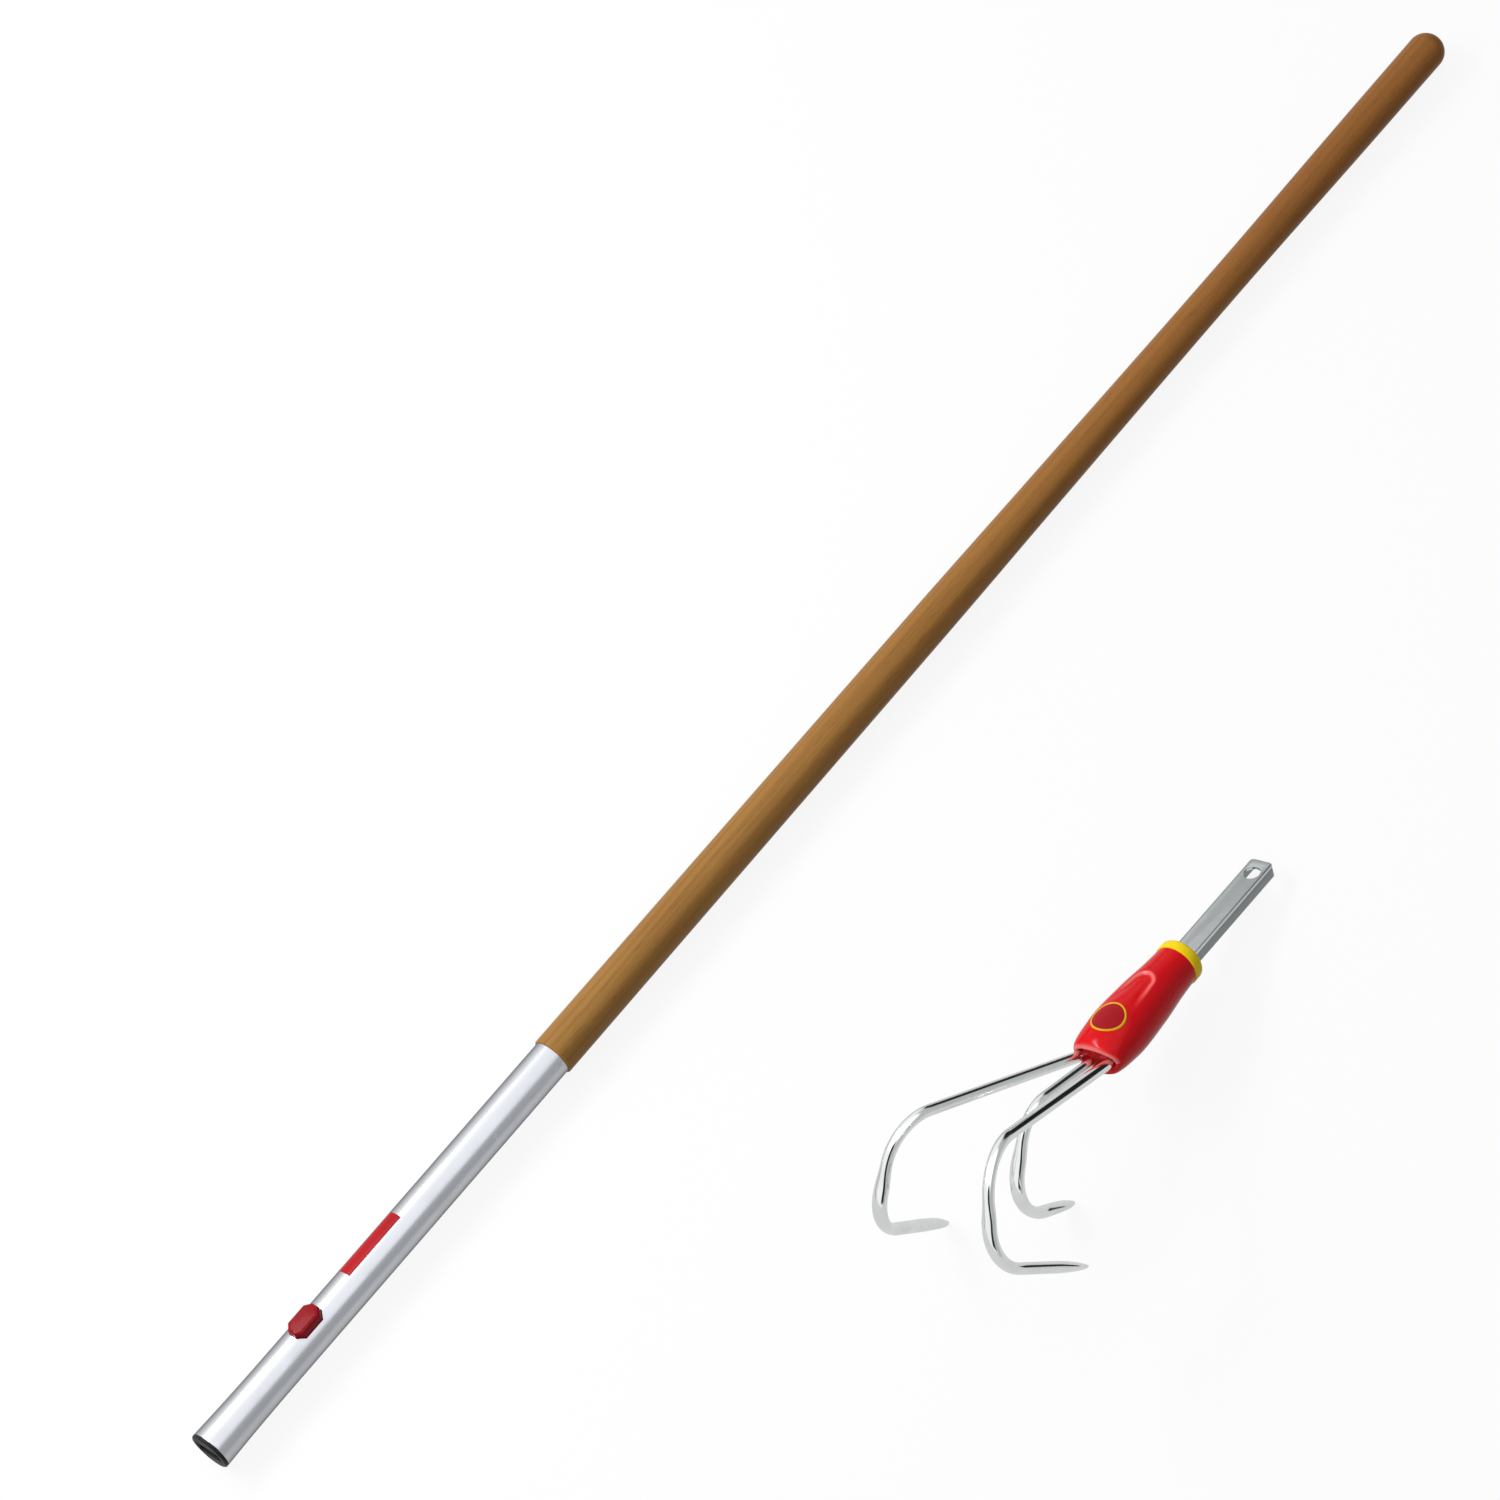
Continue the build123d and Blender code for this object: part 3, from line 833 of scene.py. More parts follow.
    @staticmethod
    def close_up(piece: bpy.types.Object, smooth: float) -> None:
        """Merges doubles, closes open ends, points faces outwards and shades the piece smoothly.

        Args:
            piece: The piece, in edit or object mode.
            smooth: Angle in degrees above which an edge stays sharp.
        """
        Bench.take(piece)
        bpy.ops.object.mode_set(mode="EDIT")
        bpy.ops.mesh.select_all(action="SELECT")
        bpy.ops.mesh.remove_doubles(threshold=MERGE)
        bpy.ops.mesh.fill_holes(sides=0)
        bpy.ops.mesh.normals_make_consistent(inside=False)
        bpy.ops.object.mode_set(mode="OBJECT")
        bpy.ops.object.shade_smooth_by_angle(angle=radians(smooth))

    @staticmethod
    def modify(piece: bpy.types.Object, kind: str, **settings: Any) -> None:
        """Adds a modifier and applies it.

        Args:
            piece: The piece.
            kind: The modifier's type.
            settings: Its options.
        """
        Bench.take(piece)
        made = piece.modifiers.new(kind.lower(), kind)
        for name, value in settings.items():
            setattr(made, name, value)
        bpy.ops.object.modifier_apply(modifier=made.name)

    @staticmethod
    def bevel(piece: bpy.types.Object, width: float, segments: int, above: float) -> None:
        """Rounds a piece's sharp edges.

        Args:
            piece: The piece.
            width: Width of the rounding.
            segments: Faces across it.
            above: Angle in degrees above which an edge is rounded.
        """
        where = {"limit_method": "ANGLE", "angle_limit": radians(above)}
        Bench.modify(piece, "BEVEL", width=width, segments=segments, **where)

    @staticmethod
    def settle(piece: bpy.types.Object, frame_matrix: Matrix) -> None:
        """Carries a finished mesh from its own frame to its place, with the object left at the origin.

        Args:
            piece: The piece.
            frame_matrix: From the piece's own frame to the model's.
        """
        Bench.take(piece)
        piece.matrix_world = frame_matrix
        bpy.ops.object.transform_apply(location=True, rotation=True, scale=True)

    @staticmethod
    def hand_over(piece: bpy.types.Object, body: Body, slot: str, finish: Finish, *nodes: str) -> None:
        """Dresses a piece, rides it on its body and hides the CAD nodes that it stands for.

        Args:
            piece: The finished piece.
            body: The body that it moves with.
            slot: The record's material slot; not used.
            finish: Its finish.
            nodes: CAD nodes that it stands for.
        """
        Bench.clear()
        piece.data.materials.clear()
        piece.data.materials.append(finish.material())
        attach(piece, body.value)
        if nodes:
            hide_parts(*nodes)
        LOG.info("%s rides on %s", piece.name, body.value)

    @staticmethod
    def dress(node: str, finish: Finish) -> None:
        """Gives a CAD node its finish.

        Args:
            node: The node's name.
            finish: Its finish.
        """
        shown = frame["nodes"][node]
        if not shown.material_slots:
            shown.data.materials.append(None)
        for holder in shown.material_slots:
            holder.material = finish.material()
        LOG.info("%s keeps its CAD shape", node)


class Profile:
    """A smooth curve through stations that never swings past them."""

    def __init__(self, stations: Sequence[Station]) -> None:
        """Works out the curve's slope at each station.

        Args:
            stations: Places, in order, and the value at each.
        """
        self.places = [place for place, _ in stations]
        self.values = [value for _, value in stations]
        pairs = list(zip(stations, stations[1:]))
        steps = [(after[1] - before[1]) / (after[0] - before[0]) for before, after in pairs]
        self.slopes = [steps[0]]
        for before, after in zip(steps, steps[1:]):
            turns = before * after <= 0.0
            self.slopes.append(0.0 if turns else 2.0 * before * after / (before + after))
        self.slopes.append(steps[-1])

    def at(self, place: float) -> float:
        """Value of the curve at a place.

        Args:
            place: The place, kept inside the curve's ends.

        Returns:
            The value there.
        """
        first = max(i for i in range(len(self.places) - 1) if i == 0 or self.places[i] <= place)
        span = self.places[first + 1] - self.places[first]
        share = min(max((place - self.places[first]) / span, 0.0), 1.0)
        rest = 1.0 - share
        start = self.values[first] * (1.0 + 2.0 * share) * rest**2
        end = self.values[first + 1] * (3.0 - 2.0 * share) * share**2
        lean = self.slopes[first] * rest - self.slopes[first + 1] * share
        return start + end + span * share * rest * lean


def ease(value: float, low: float, high: float) -> float:
    """Smooth step from 0 at low to 1 at high.

    Args:
        value: Where the step is read.
        low: Start of the step.
        high: End of the step.

    Returns:
        The stepped value, from 0 to 1.
    """
    share = min(max((value - low) / (high - low), 0.0), 1.0)
    return share * share * (3.0 - 2.0 * share)


def arc(middle: Pair, radius: float, start: float, end: float, steps: int) -> List[Pair]:
    """Points on an arc.

    Args:
        middle: The arc's middle.
        radius: Its radius.
        start: First angle in degrees.
        end: Last angle in degrees.
        steps: Number of parts.

    Returns:
        The points, with both ends.
    """
    angles = [radians(start + (end - start) * step / steps) for step in range(steps + 1)]
    return [(middle[0] + radius * cos(angle), middle[1] + radius * sin(angle)) for angle in angles]


@dataclass
class Shaft:
    """Ash shaft: a tenon for the tube, a rounded shoulder, a long turned profile and a domed end."""

    sides: int = 96
    tenon_start: float = 282.0 * MM
    tenon_r: float = 12.75 * MM
    tenon_edge: float = 0.5 * MM
    shoulder_at: float = 352.0 * MM
    shoulder_r: float = 15.4 * MM
    bevel: float = 1.2 * MM
    bevel_rings: int = 5
    belly: Station = (780.0 * MM, 14.75 * MM)
    taper: Station = (900.0 * MM, 13.9 * MM)
    waist: Station = (1130.0 * MM, 12.8 * MM)
    swell: Station = (1300.0 * MM, 13.95 * MM)
    end_at: float = 1400.0 * MM
    end_r: float = 14.25 * MM
    rings: int = 48
    dome_rings: int = 14
    dome_turn: float = 89.0

    def build(self) -> None:
        """Turns the shaft from its tenon to its dome."""
        dome_at = self.end_at - self.end_r
        first = self.shoulder_at + self.bevel
        start, end = (first, self.shoulder_r), (dome_at, self.end_r)
        profile = Profile([start, self.belly, self.taper, self.waist, self.swell, end])
        stations = [
            (self.tenon_start, self.tenon_r - self.tenon_edge),
            (self.tenon_start + self.tenon_edge, self.tenon_r),
            (self.shoulder_at, self.tenon_r),
            (self.shoulder_at, self.shoulder_r - self.bevel),
        ]
        for step in range(1, self.bevel_rings + 1):
            angle = pi / 2 * step / self.bevel_rings
            reach, sink = self.bevel * (1.0 - cos(angle)), self.bevel * (1.0 - sin(angle))
            stations.append((self.shoulder_at + reach, self.shoulder_r - sink))
        for step in range(1, self.rings + 1):
            place = first + (dome_at - first) * step / self.rings
            stations.append((place, profile.at(place)))
        for step in range(1, self.dome_rings + 1):
            angle = radians(self.dome_turn) * step / self.dome_rings
            stations.append((dome_at + self.end_r * sin(angle), self.end_r * cos(angle)))
        piece = Bench.turned("ash_shaft", self.sides, stations)
        Bench.close_up(piece, smooth=40.0)
        Bench.hand_over(piece, Body.HANDLE, "varnished_ash", Finishes.ash, "wooden_shaft")


@dataclass
class Socket:
    """Ferrule tube with its window, the button in it, the leaf spring below and the red band."""

    roll: float = -21.0
    sides: int = 128
    length: float = 352.0 * MM
    outer_r: float = 14.0 * MM
    inner_r: float = 12.8 * MM
    mouth_r: float = 15.1 * MM
    flare: float = 55.0 * MM
    flare_lift: float = 0.35 * MM
    end_edge: float = 0.25 * MM
    mouth_edge: Sequence[Station] = ((0.45 * MM, 0.0), (0.12 * MM, 0.14 * MM), (0.0, 0.45 * MM))
    bore_edge: Sequence[Station] = ((0.0, 0.35 * MM), (0.12 * MM, 0.08 * MM), (0.4 * MM, 0.0))
    plain_rings: Sequence[float] = (292.0, 240.0, 180.0, 150.0, 130.0, *range(122, 80, -2))
    flare_rings: Sequence[float] = (72.0, 60.0, 50.0, 40.0, 30.0, 20.0, 12.0, 6.0, 2.0)
    window_at: float = 102.0 * MM
    window_half: Pair = (12.85 * MM, 8.1 * MM)
    window_low: float = 5.0 * MM
    window_height: float = 20.0 * MM
    button_half: Pair = (12.5 * MM, 7.75 * MM)
    corner: float = 4.5 * MM
    flange_half: Pair = (14.5 * MM, 9.2 * MM)
    flange_low: float = 7.0 * MM
    flange_high: float = 8.5 * MM
    flange_overlap: float = 0.2 * MM
    button_top: float = 19.0 * MM
    button_edge: float = 0.7 * MM
    crown: float = 2.6 * MM
    crown_rings: int = 8
    crown_turn: float = 86.0
    dome: float = 0.35 * MM
    dome_tiers: Sequence[Station] = ((0.75, 0.18 * MM), (0.45, 0.29 * MM), (0.12, 0.35 * MM))
    band_from: float = 144.0 * MM
    band_to: float = 197.0 * MM
    band_middle: float = 36.0
    band_spread: float = 50.0
    band_lift: float = 0.03 * MM
    band_thickness: float = 0.1 * MM
    band_cells: Tuple[int, int] = (12, 30)
    leaf_at: float = 109.35 * MM
    leaf_half: float = 5.75 * MM
    leaf_foot: float = -11.3 * MM
    leaf_top: float = -6.355 * MM
    leaf_sheet: float = 0.5 * MM
    leaf_width: float = 7.0 * MM
    leaf_edge: float = 0.1 * MM
    leaf_rings: int = 24
    leaf_pressed: float = 0.49

    def __post_init__(self) -> None:
        """Works out the turn from straight up to the button's side of the tube."""
        self.turn = Matrix.Rotation(radians(self.roll), 4, "X")

    def build(self) -> None:
        """Makes the tube, the button, the leaf spring and the band."""
        self.build_tube()
        self.build_button()
        self.build_leaf()
        self.build_band()

    def eight_sided(self, half: Pair, height: float) -> List[Vector]:
        """Corners of the button's outline at a height above the handle's axis.

        Args:
            half: Half length and half width.
            height: The height.

        Returns:
            The eight corners, in order.
        """
        long, wide = half
        cut = self.corner
        flat = [(long, wide - cut), (long - cut, wide), (cut - long, wide), (-long, wide - cut)]
        flat += [(-x, -y) for x, y in flat]
        return [Vector((self.window_at + x, y, height)) for x, y in flat]

    def build_tube(self) -> None:
        """Turns the tube's wall and cuts the button's window into it."""
        half_flared = (self.flare * 0.5, self.outer_r + self.flare_lift)
        flared = Profile([(0.0, self.mouth_r), half_flared, (self.flare, self.outer_r)])
        bore = [(place, self.inner_r + rise) for place, rise in self.bore_edge]
        stations = [bore[-1], (self.length, self.inner_r), (self.length, self.outer_r - self.end_edge)]
        stations.append((self.length - self.end_edge, self.outer_r))
        stations += [(place * MM, self.outer_r) for place in self.plain_rings]
        stations += [(place * MM, flared.at(place * MM)) for place in self.flare_rings]
        stations += [(place, self.mouth_r - sink) for place, sink in self.mouth_edge]
        stations += bore
        piece = Bench.turned("socket_tube", self.sides, stations)
        Bench.close_up(piece, smooth=35.0)
        outline = self.eight_sided(self.window_half, self.window_low)
        tool = Bench.prism("window_tool", outline, Vector((0.0, 0.0, self.window_height)))
        Bench.settle(tool, self.turn)
        Bench.cut(piece, tool)
        Bench.close_up(piece, smooth=35.0)
        Bench.hand_over(piece, Body.HANDLE, "satin_aluminium", Finishes.tube, "ferrule_tube")

    def build_button(self) -> None:
        """Draws the button up from its flange to its crowned top."""
        foot = self.flange_high - self.flange_overlap
        shoulder = self.button_top - self.crown
        rounded = self.crown - self.dome
        piece = Bench.outline("release_cap", self.eight_sided(self.button_half, foot))
        Bench.extrude(Vector((0.0, 0.0, shoulder - foot)))
        long, wide = self.button_half
        tiers = [(long, wide, shoulder)]
        for step in range(1, self.crown_rings + 1):
            angle = radians(self.crown_turn) * step / self.crown_rings
            sink = self.crown * (1.0 - cos(angle))
            tiers.append((long - sink, wide - sink, shoulder + rounded * sin(angle)))
        for share, rise in self.dome_tiers:
            long, wide = long * share, wide * share
            tiers.append((long, wide, shoulder + rounded + rise))
        for before, after in zip(tiers, tiers[1:]):
            Bench.extrude(Vector((0.0, 0.0, after[2] - before[2])))
            factors = (after[0] / before[0], after[1] / before[1], 1.0)
            Bench.resize(factors, (self.window_at, 0.0, 0.0))
        Bench.close_up(piece, smooth=30.0)
        Bench.bevel(piece, self.button_edge, segments=4, above=28.0)
        middle = (self.window_at, 0.0, (self.flange_low + self.flange_high) / 2)
        half = (*self.flange_half, (self.flange_high - self.flange_low) / 2)
        Bench.join(piece, Bench.block("button_flange", middle, half))
        Bench.close_up(piece, smooth=38.0)
        Bench.settle(piece, self.turn)
        Bench.hand_over(piece, Body.LATCH, "button_red", Finishes.button, "release_button")

    def bow(self, half: float, top: float) -> List[Vector]:
        """Points on one side of the bowed leaf.

        Args:
            half: Half of the span between its feet.
            top: Height of its crest.

        Returns:
            The points, from the mouth's side to the shaft's.
        """
        crest = top - self.leaf_foot
        radius = (half * half + crest * crest) / (2.0 * crest)
        lean = degrees(acos(1.0 - crest / radius))
        flat = arc((self.leaf_at, top - radius), radius, 90.0 + lean, 90.0 - lean, self.leaf_rings)
        return [Vector((x, -self.leaf_width / 2, z)) for x, z in flat]

    def build_leaf(self) -> None:
        """Bows the latch's leaf spring in its shape with the button up; the piece does not flatten when
        the button goes down.
        """
        outer = self.bow(self.leaf_half, self.leaf_top)
        inner = self.bow(self.leaf_half - 2.0 * self.leaf_sheet, self.leaf_top - self.leaf_sheet)
        piece = Bench.prism("bowed_leaf", outer + inner[::-1], Vector((0.0, self.leaf_width, 0.0)))
        Bench.bevel(piece, self.leaf_edge, segments=2, above=50.0)
        Bench.close_up(piece, smooth=32.0)
        Bench.settle(piece, self.turn)
        Bench.hand_over(piece, Body.HANDLE, "spring_steel", Finishes.leaf, "latch_spring")
        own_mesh(piece)

    def build_band(self) -> None:
        """Lays the band round the tube."""
        Bench.clear()
        along_cells, round_cells = self.band_cells
        bpy.ops.mesh.primitive_grid_add(x_subdivisions=along_cells, y_subdivisions=round_cells, size=1.0)
        piece = Bench.named("printed_band")
        reach = self.outer_r + self.band_lift
        for point in piece.data.vertices:
            angle = radians(self.band_middle + self.band_spread * point.co.y)
            along = self.band_from + (self.band_to - self.band_from) * (point.co.x + 0.5)
            point.co = (along, reach * sin(angle), reach * cos(angle))
        Bench.close_up(piece, smooth=40.0)
        Bench.modify(piece, "SOLIDIFY", thickness=self.band_thickness, offset=1.0)
        Bench.close_up(piece, smooth=40.0)
        Bench.hand_over(piece, Body.HANDLE, "button_red", Finishes.band)


class HeadFrame:
    """The head's own frame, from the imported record: x to the tang's tip, y left, z out of its web."""

    collar_face: float = 111.0 * MM

    def __init__(self) -> None:
        """Finds the frame from the tang's mount and the axis of the tang's hole."""
        mounts = {mount["name"]: mount for mount in frame["record"]["mounts"]}
        along = Vector(mounts["tang"]["axis"]).normalized()
        left = Vector(mounts["tang_hole"]["axis"]).cross(along).normalized()
        self.matrix = Matrix((along, left, along.cross(left))).transposed().to_4x4()
        self.matrix.translation = Vector(mounts["tang"]["pos_m"]) - along * self.collar_face


@dataclass
class Tine:
    """One tine: a round rod with three bends, broadened below the upper one and forged to a point."""

    node: str
    side: int
    rise: float
    run: float
    drop: float
    drop_angle: float
    hook: float
    hook_angle: float
    upper_bend: float
    sides: int = 40
    rod_r: float = 4.05 * MM
    pitch: float = 10.5 * MM
    axis_z: float = -1.85 * MM
    inside_at: float = 47.0 * MM
    leave_at: float = 6.0 * MM
    spreads: Triple = (37.7 * MM, 48.2 * MM, 58.0 * MM)
    exit_bend: float = 22.0 * MM
    lower_bend: float = 34.0 * MM
    broad_r: float = 5.5 * MM
    leg_rings: int = 6
    taper_rings: int = 10
    bend_rings: int = 18

    POINT: ClassVar[Sequence[Triple]] = (
        (0.0, 0.7, 0.4), (0.5, 1.4, 0.7), (1.6, 2.3, 1.05), (3.5, 3.35, 1.45), (6.0, 4.4, 1.95),
        (9.0, 5.25, 2.45), (12.5, 5.7, 2.9), (16.5, 5.8, 3.3), (21.0, 5.7, 3.6), (26.0, 5.6, 3.85),
        (31.0, 5.5, 4.05),
    )

    def corners(self) -> List[Vector]:
        """Corners of the centre line in the head's frame, from the point to the inside end.

        Returns:
            The tip, the lower bend, the upper bend, the bend at the sleeve's mouth and the inside end.
        """
        bend_x = self.leave_at - self.run * cos(radians(self.rise))
        bend_z = self.axis_z + self.run * sin(radians(self.rise))
        low_x = bend_x - self.drop * cos(radians(self.drop_angle))
        low_z = bend_z - self.drop * sin(radians(self.drop_angle))
        tip_x = low_x + self.hook * cos(radians(self.hook_angle))
        tip_z = low_z - self.hook * sin(radians(self.hook_angle))
        tip = Vector((tip_x, self.side * self.spreads[2], tip_z))
        low = Vector((low_x, self.side * self.spreads[1], low_z))
        bend = Vector((bend_x, self.side * self.spreads[0], bend_z))
        leave = Vector((self.leave_at, self.side * self.pitch, self.axis_z))
        return [tip, low, bend, leave, Vector((self.inside_at, self.side * self.pitch, self.axis_z))]

    def build(self, head: HeadFrame) -> None:
        """Draws the tine out from its point, bend by bend, and lays it on the head.

        Args:
            head: The head's own frame.
        """
        tip, low, bend, _, _ = self.corners()
        along = (low - tip).normalized()
        broad = (bend - low).cross(along).normalized()
        own = Matrix((along, broad, along.cross(broad))).transposed().to_4x4()
        own.translation = tip
        path = [own.inverted() @ corner for corner in self.corners()]
        ways = [(after - before).normalized() for before, after in zip(path, path[1:])]
        radii = [self.lower_bend, self.upper_bend, self.exit_bend]
        turns = zip(radii, ways, ways[1:])
        cuts = [radius * tan(first.angle(second) / 2) for radius, first, second in turns]
        point = [(x * MM, y * MM, z * MM) for x, y, z in self.POINT]
        piece = Bench.lofted(f"forged_{self.node}", self.sides, point)
        spot = Vector((point[-1][0], 0.0, 0.0))
        wide = self.broad_r
        ends = [corner - way * cut for corner, way, cut in zip(path[1:], ways, cuts)] + [path[-1]]
        for leg, end in enumerate(ends):
            tapers = leg == 1
            steps = self.taper_rings if tapers else self.leg_rings
            stride = (end - spot) / steps
            for step in range(1, steps + 1):
                Bench.extrude(stride)
                spot = spot + stride
                if tapers:
                    now = self.broad_r + (self.rod_r - self.broad_r) * ease(step / steps, 0.0, 1.0)
                    Bench.resize((1.0, now / wide, 1.0), tuple(spot))
                    wide = now
            if leg < len(radii):
                spot = Bench.bend(spot, ways[leg], ways[leg + 1], radii[leg], self.bend_rings)
        Bench.close_up(piece, smooth=40.0)
        Bench.settle(piece, head.matrix @ own)
        Bench.hand_over(piece, Body.HEAD, "bright_rod", Finishes.rod, self.node)


@dataclass
class Sleeve:
    """Moulded sleeve with a rolled lip and a panel let into its top, and the round badge field there."""

    sides: int = 192
    length: float = 102.0 * MM
    widths: Sequence[Station] = (
        (0.0, 19.5), (15.0, 21.0), (33.0, 21.6), (62.0, 19.8), (87.0, 17.0), (102.0, 16.0),
    )
    heights: Sequence[Station] = (
        (0.0, 11.2), (4.0, 13.9), (9.0, 16.0), (15.0, 17.5), (33.0, 20.0), (62.0, 19.0), (87.0, 17.0),
        (102.0, 16.0),
    )
    lip: float = 2.5 * MM
    lip_reach: float = 4.2 * MM
    lip_rings: int = 12
    plain_rings: int = 120
    end_edge: float = 1.0 * MM
    plug_at: float = 4.9 * MM
    plug_insets: Sequence[float] = (11.5, 10.0, 8.5, 7.0, 5.8)
    plug_edge: Pair = (0.9, 2.05)
    cut_back: float = 3.0 * MM
    cut_reach: float = 16.0 * MM
    cut_share: float = 0.9
    panel_height: float = -2.5 * MM
    panel_top: float = 74.0 * MM
    panel_half: Pair = (8.0 * MM, 14.5 * MM)
    panel_foot: float = 9.0 * MM
    panel_soft: float = 2.3 * MM
    panel_from: float = 36.0 * MM
    panel_least: float = 0.08
    panel_mouth: Pair = (2.0 * MM, 14.0 * MM)
    # Painted highlight along the panel's arch and round the lip.
    painted_highlight_at: float = -0.4 * MM
    painted_highlight_half: float = 1.9 * MM
    painted_highlight_share: float = 0.55
    lip_painted_highlight: Pair = (0.6 * MM, 2.6 * MM)
    widest: float = 0.98
    pad_at: float = 25.5 * MM
    pad_r: float = 12.6 * MM
    pad_sides: int = 96
    pad_sink: float = 1.6 * MM
    pad_edge: Sequence[Station] = ((0.0, 0.0), (0.22 * MM, 0.12 * MM), (0.3 * MM, 0.4 * MM))
    pad_rings: Sequence[float] = (0.9, 0.8, 0.65, 0.5, 0.35, 0.2, 0.06)
    ring_r: float = 12.1 * MM
    ring_half: float = 0.72 * MM
    ring_flat: float = 0.8
    ring_lift: float = 0.25 * MM
    ring_steps: int = 16

    def __post_init__(self) -> None:
        """Draws the curves of the half width and the half height along the sleeve."""
        self.wide = Profile([(place * MM, half * MM) for place, half in self.widths])
        self.high = Profile([(place * MM, half * MM) for place, half in self.heights])

    def build(self, head: HeadFrame) -> None:
        """Makes the sleeve, its badge field and the ring round that field.

        Args:
            head: The head's own frame.
        """
        self.build_shell(head)
        field = [(-self.pad_sink, self.pad_r)]
        field += [(rise, self.pad_r - sink) for rise, sink in self.pad_edge]
        field += [(self.pad_edge[-1][0], self.pad_r * share) for share in self.pad_rings]
        self.lay_on("badge_field", field, head, Finishes.pad, "pad_plastic", "badge_pad")
        rim = []
        for step in range(self.ring_steps + 1):
            angle = 2 * pi * step / self.ring_steps
            rise, reach = self.ring_half * sin(angle) * self.ring_flat, self.ring_half * cos(angle)
            rim.append((self.ring_lift + rise, self.ring_r + reach))
        self.lay_on("badge_rim", rim, head, Finishes.ring, "collar_yellow")

    def panel_edge(self, place: float, across: float) -> Pair:
        """Finds a spot's distance from the edge of the panel.

        Args:
            place: Distance from the mouth.
            across: Distance from the sleeve's middle plane.

        Returns:
            How far the spot lies inside the edge, and how much of the panel's depth is left there.
        """
        top, foot = self.panel_half
        arch = self.panel_top - top
        if place > arch:
            inside = top - hypot(place - arch, across)
        else:
            inside = top + (foot - top) * (arch - place) / (arch - self.panel_foot) - abs(across)
        return inside, self.panel_least + (1.0 - self.panel_least) * ease(place, self.panel_from, arch)

    def panel_at(self, place: float, across: float) -> float:
        """Height of the panel.

        Args:
            place: Distance from the mouth.
            across: Distance from the sleeve's middle plane.

        Returns:
            The height above the plain sleeve, less than 0 where the panel is let in.
        """
        inside, fade = self.panel_edge(place, across)
        step = ease(inside, -self.panel_soft, self.panel_soft)
        return self.panel_height * fade * step * ease(place, *self.panel_mouth)

    def rub(self, place: float, across: float) -> float:
        """How much painted highlight the sleeve gets at a spot of its upper side.

        Args:
            place: Distance from the mouth.
            across: Distance from the sleeve's middle plane.

        Returns:
            The share of painted highlight, from 0 to 1.
        """
        inside, fade = self.panel_edge(place, across)
        near_arch = 1.0 - ease(abs(inside - self.painted_highlight_at), 0.0, self.painted_highlight_half)
        near_lip = 1.0 - ease(place, *self.lip_painted_highlight)
        return self.painted_highlight_share * max(near_arch * fade**2, near_lip)

    def top(self, place: float, across: float) -> float:
        """Height of the sleeve's upper side.

        Args:
            place: Distance from the mouth.
            across: Distance from the middle plane.

        Returns:
            The height in the head's frame.
        """
        share = min(abs(across) / self.wide.at(place), self.widest)
        return self.high.at(place) * sqrt(1.0 - share * share) + self.panel_at(place, across)

    def build_shell(self, head: HeadFrame) -> None:
        """Draws the sleeve from its plug round the lip to the collar, then moulds panel and mouth.

        Args:
            head: The head's own frame.
        """
        rings = [(self.plug_at, inset * MM) for inset in self.plug_insets]
        rings.append((self.plug_at * self.plug_edge[0], self.plug_edge[1] * self.lip))
        for step in range(self.lip_rings + 1):
            angle = pi * step / self.lip_rings
            rings.append((self.lip_reach * (1.0 - sin(angle)), self.lip * (1.0 + cos(angle))))
        plain = self.length - self.lip_reach
        for step in range(1, self.plain_rings + 1):
            rings.append((self.lip_reach + plain * step / self.plain_rings, 0.0))
        rings.append((self.length, self.end_edge))
        sections = [(x, self.wide.at(x) - inset, self.high.at(x) - inset) for x, inset in rings]
        piece = Bench.lofted("moulded_sleeve", self.sides, sections)
        Bench.clear()
        # Upper points keep their share of painted highlight in a point attribute.
        pale = piece.data.attributes.new(PAINTED_HIGHLIGHT, "FLOAT", "POINT")
        for point in piece.data.vertices:
            place, across, height = point.co
            near = 1.0 - ease(place, 0.0, self.cut_reach)
            flank = max(0.0, 1.0 - (height / (self.cut_share * self.high.at(0.0))) ** 2)
            if height > 0.0:
                slant = (0.0, across / self.wide.at(place) ** 2, height / self.high.at(place) ** 2)
                point.co += Vector(slant).normalized() * self.panel_at(place, across)
                pale.data[point.index].value = self.rub(place, across)
            point.co.x += self.cut_back * near * flank
        Bench.close_up(piece, smooth=60.0)
        Bench.settle(piece, head.matrix)
        Bench.hand_over(piece, Body.HEAD, "sleeve_red", Finishes.sleeve, "sleeve")

    def lay_on(
        self, name: str, stations: Sequence[Station], head: HeadFrame,
        finish: Finish, slot: str, *nodes: str,
    ) -> None:
        """Turns a round piece and lays it on the panel.

        Args:
            name: The piece's name.
            stations: Height above the panel and radius of each ring.
            head: The head's own frame.
            finish: Its finish.
            slot: The record's material slot.
            nodes: CAD nodes that it stands for.
        """
        piece = Bench.turned(name, self.pad_sides, stations)
        Bench.clear()
        for point in piece.data.vertices:
            lift, across, ahead = point.co
            place = self.pad_at + ahead
            point.co = (place, across, self.top(place, across) + lift)
        Bench.close_up(piece, smooth=45.0)
        Bench.settle(piece, head.matrix)
        Bench.hand_over(piece, Body.HEAD, slot, finish, *nodes)


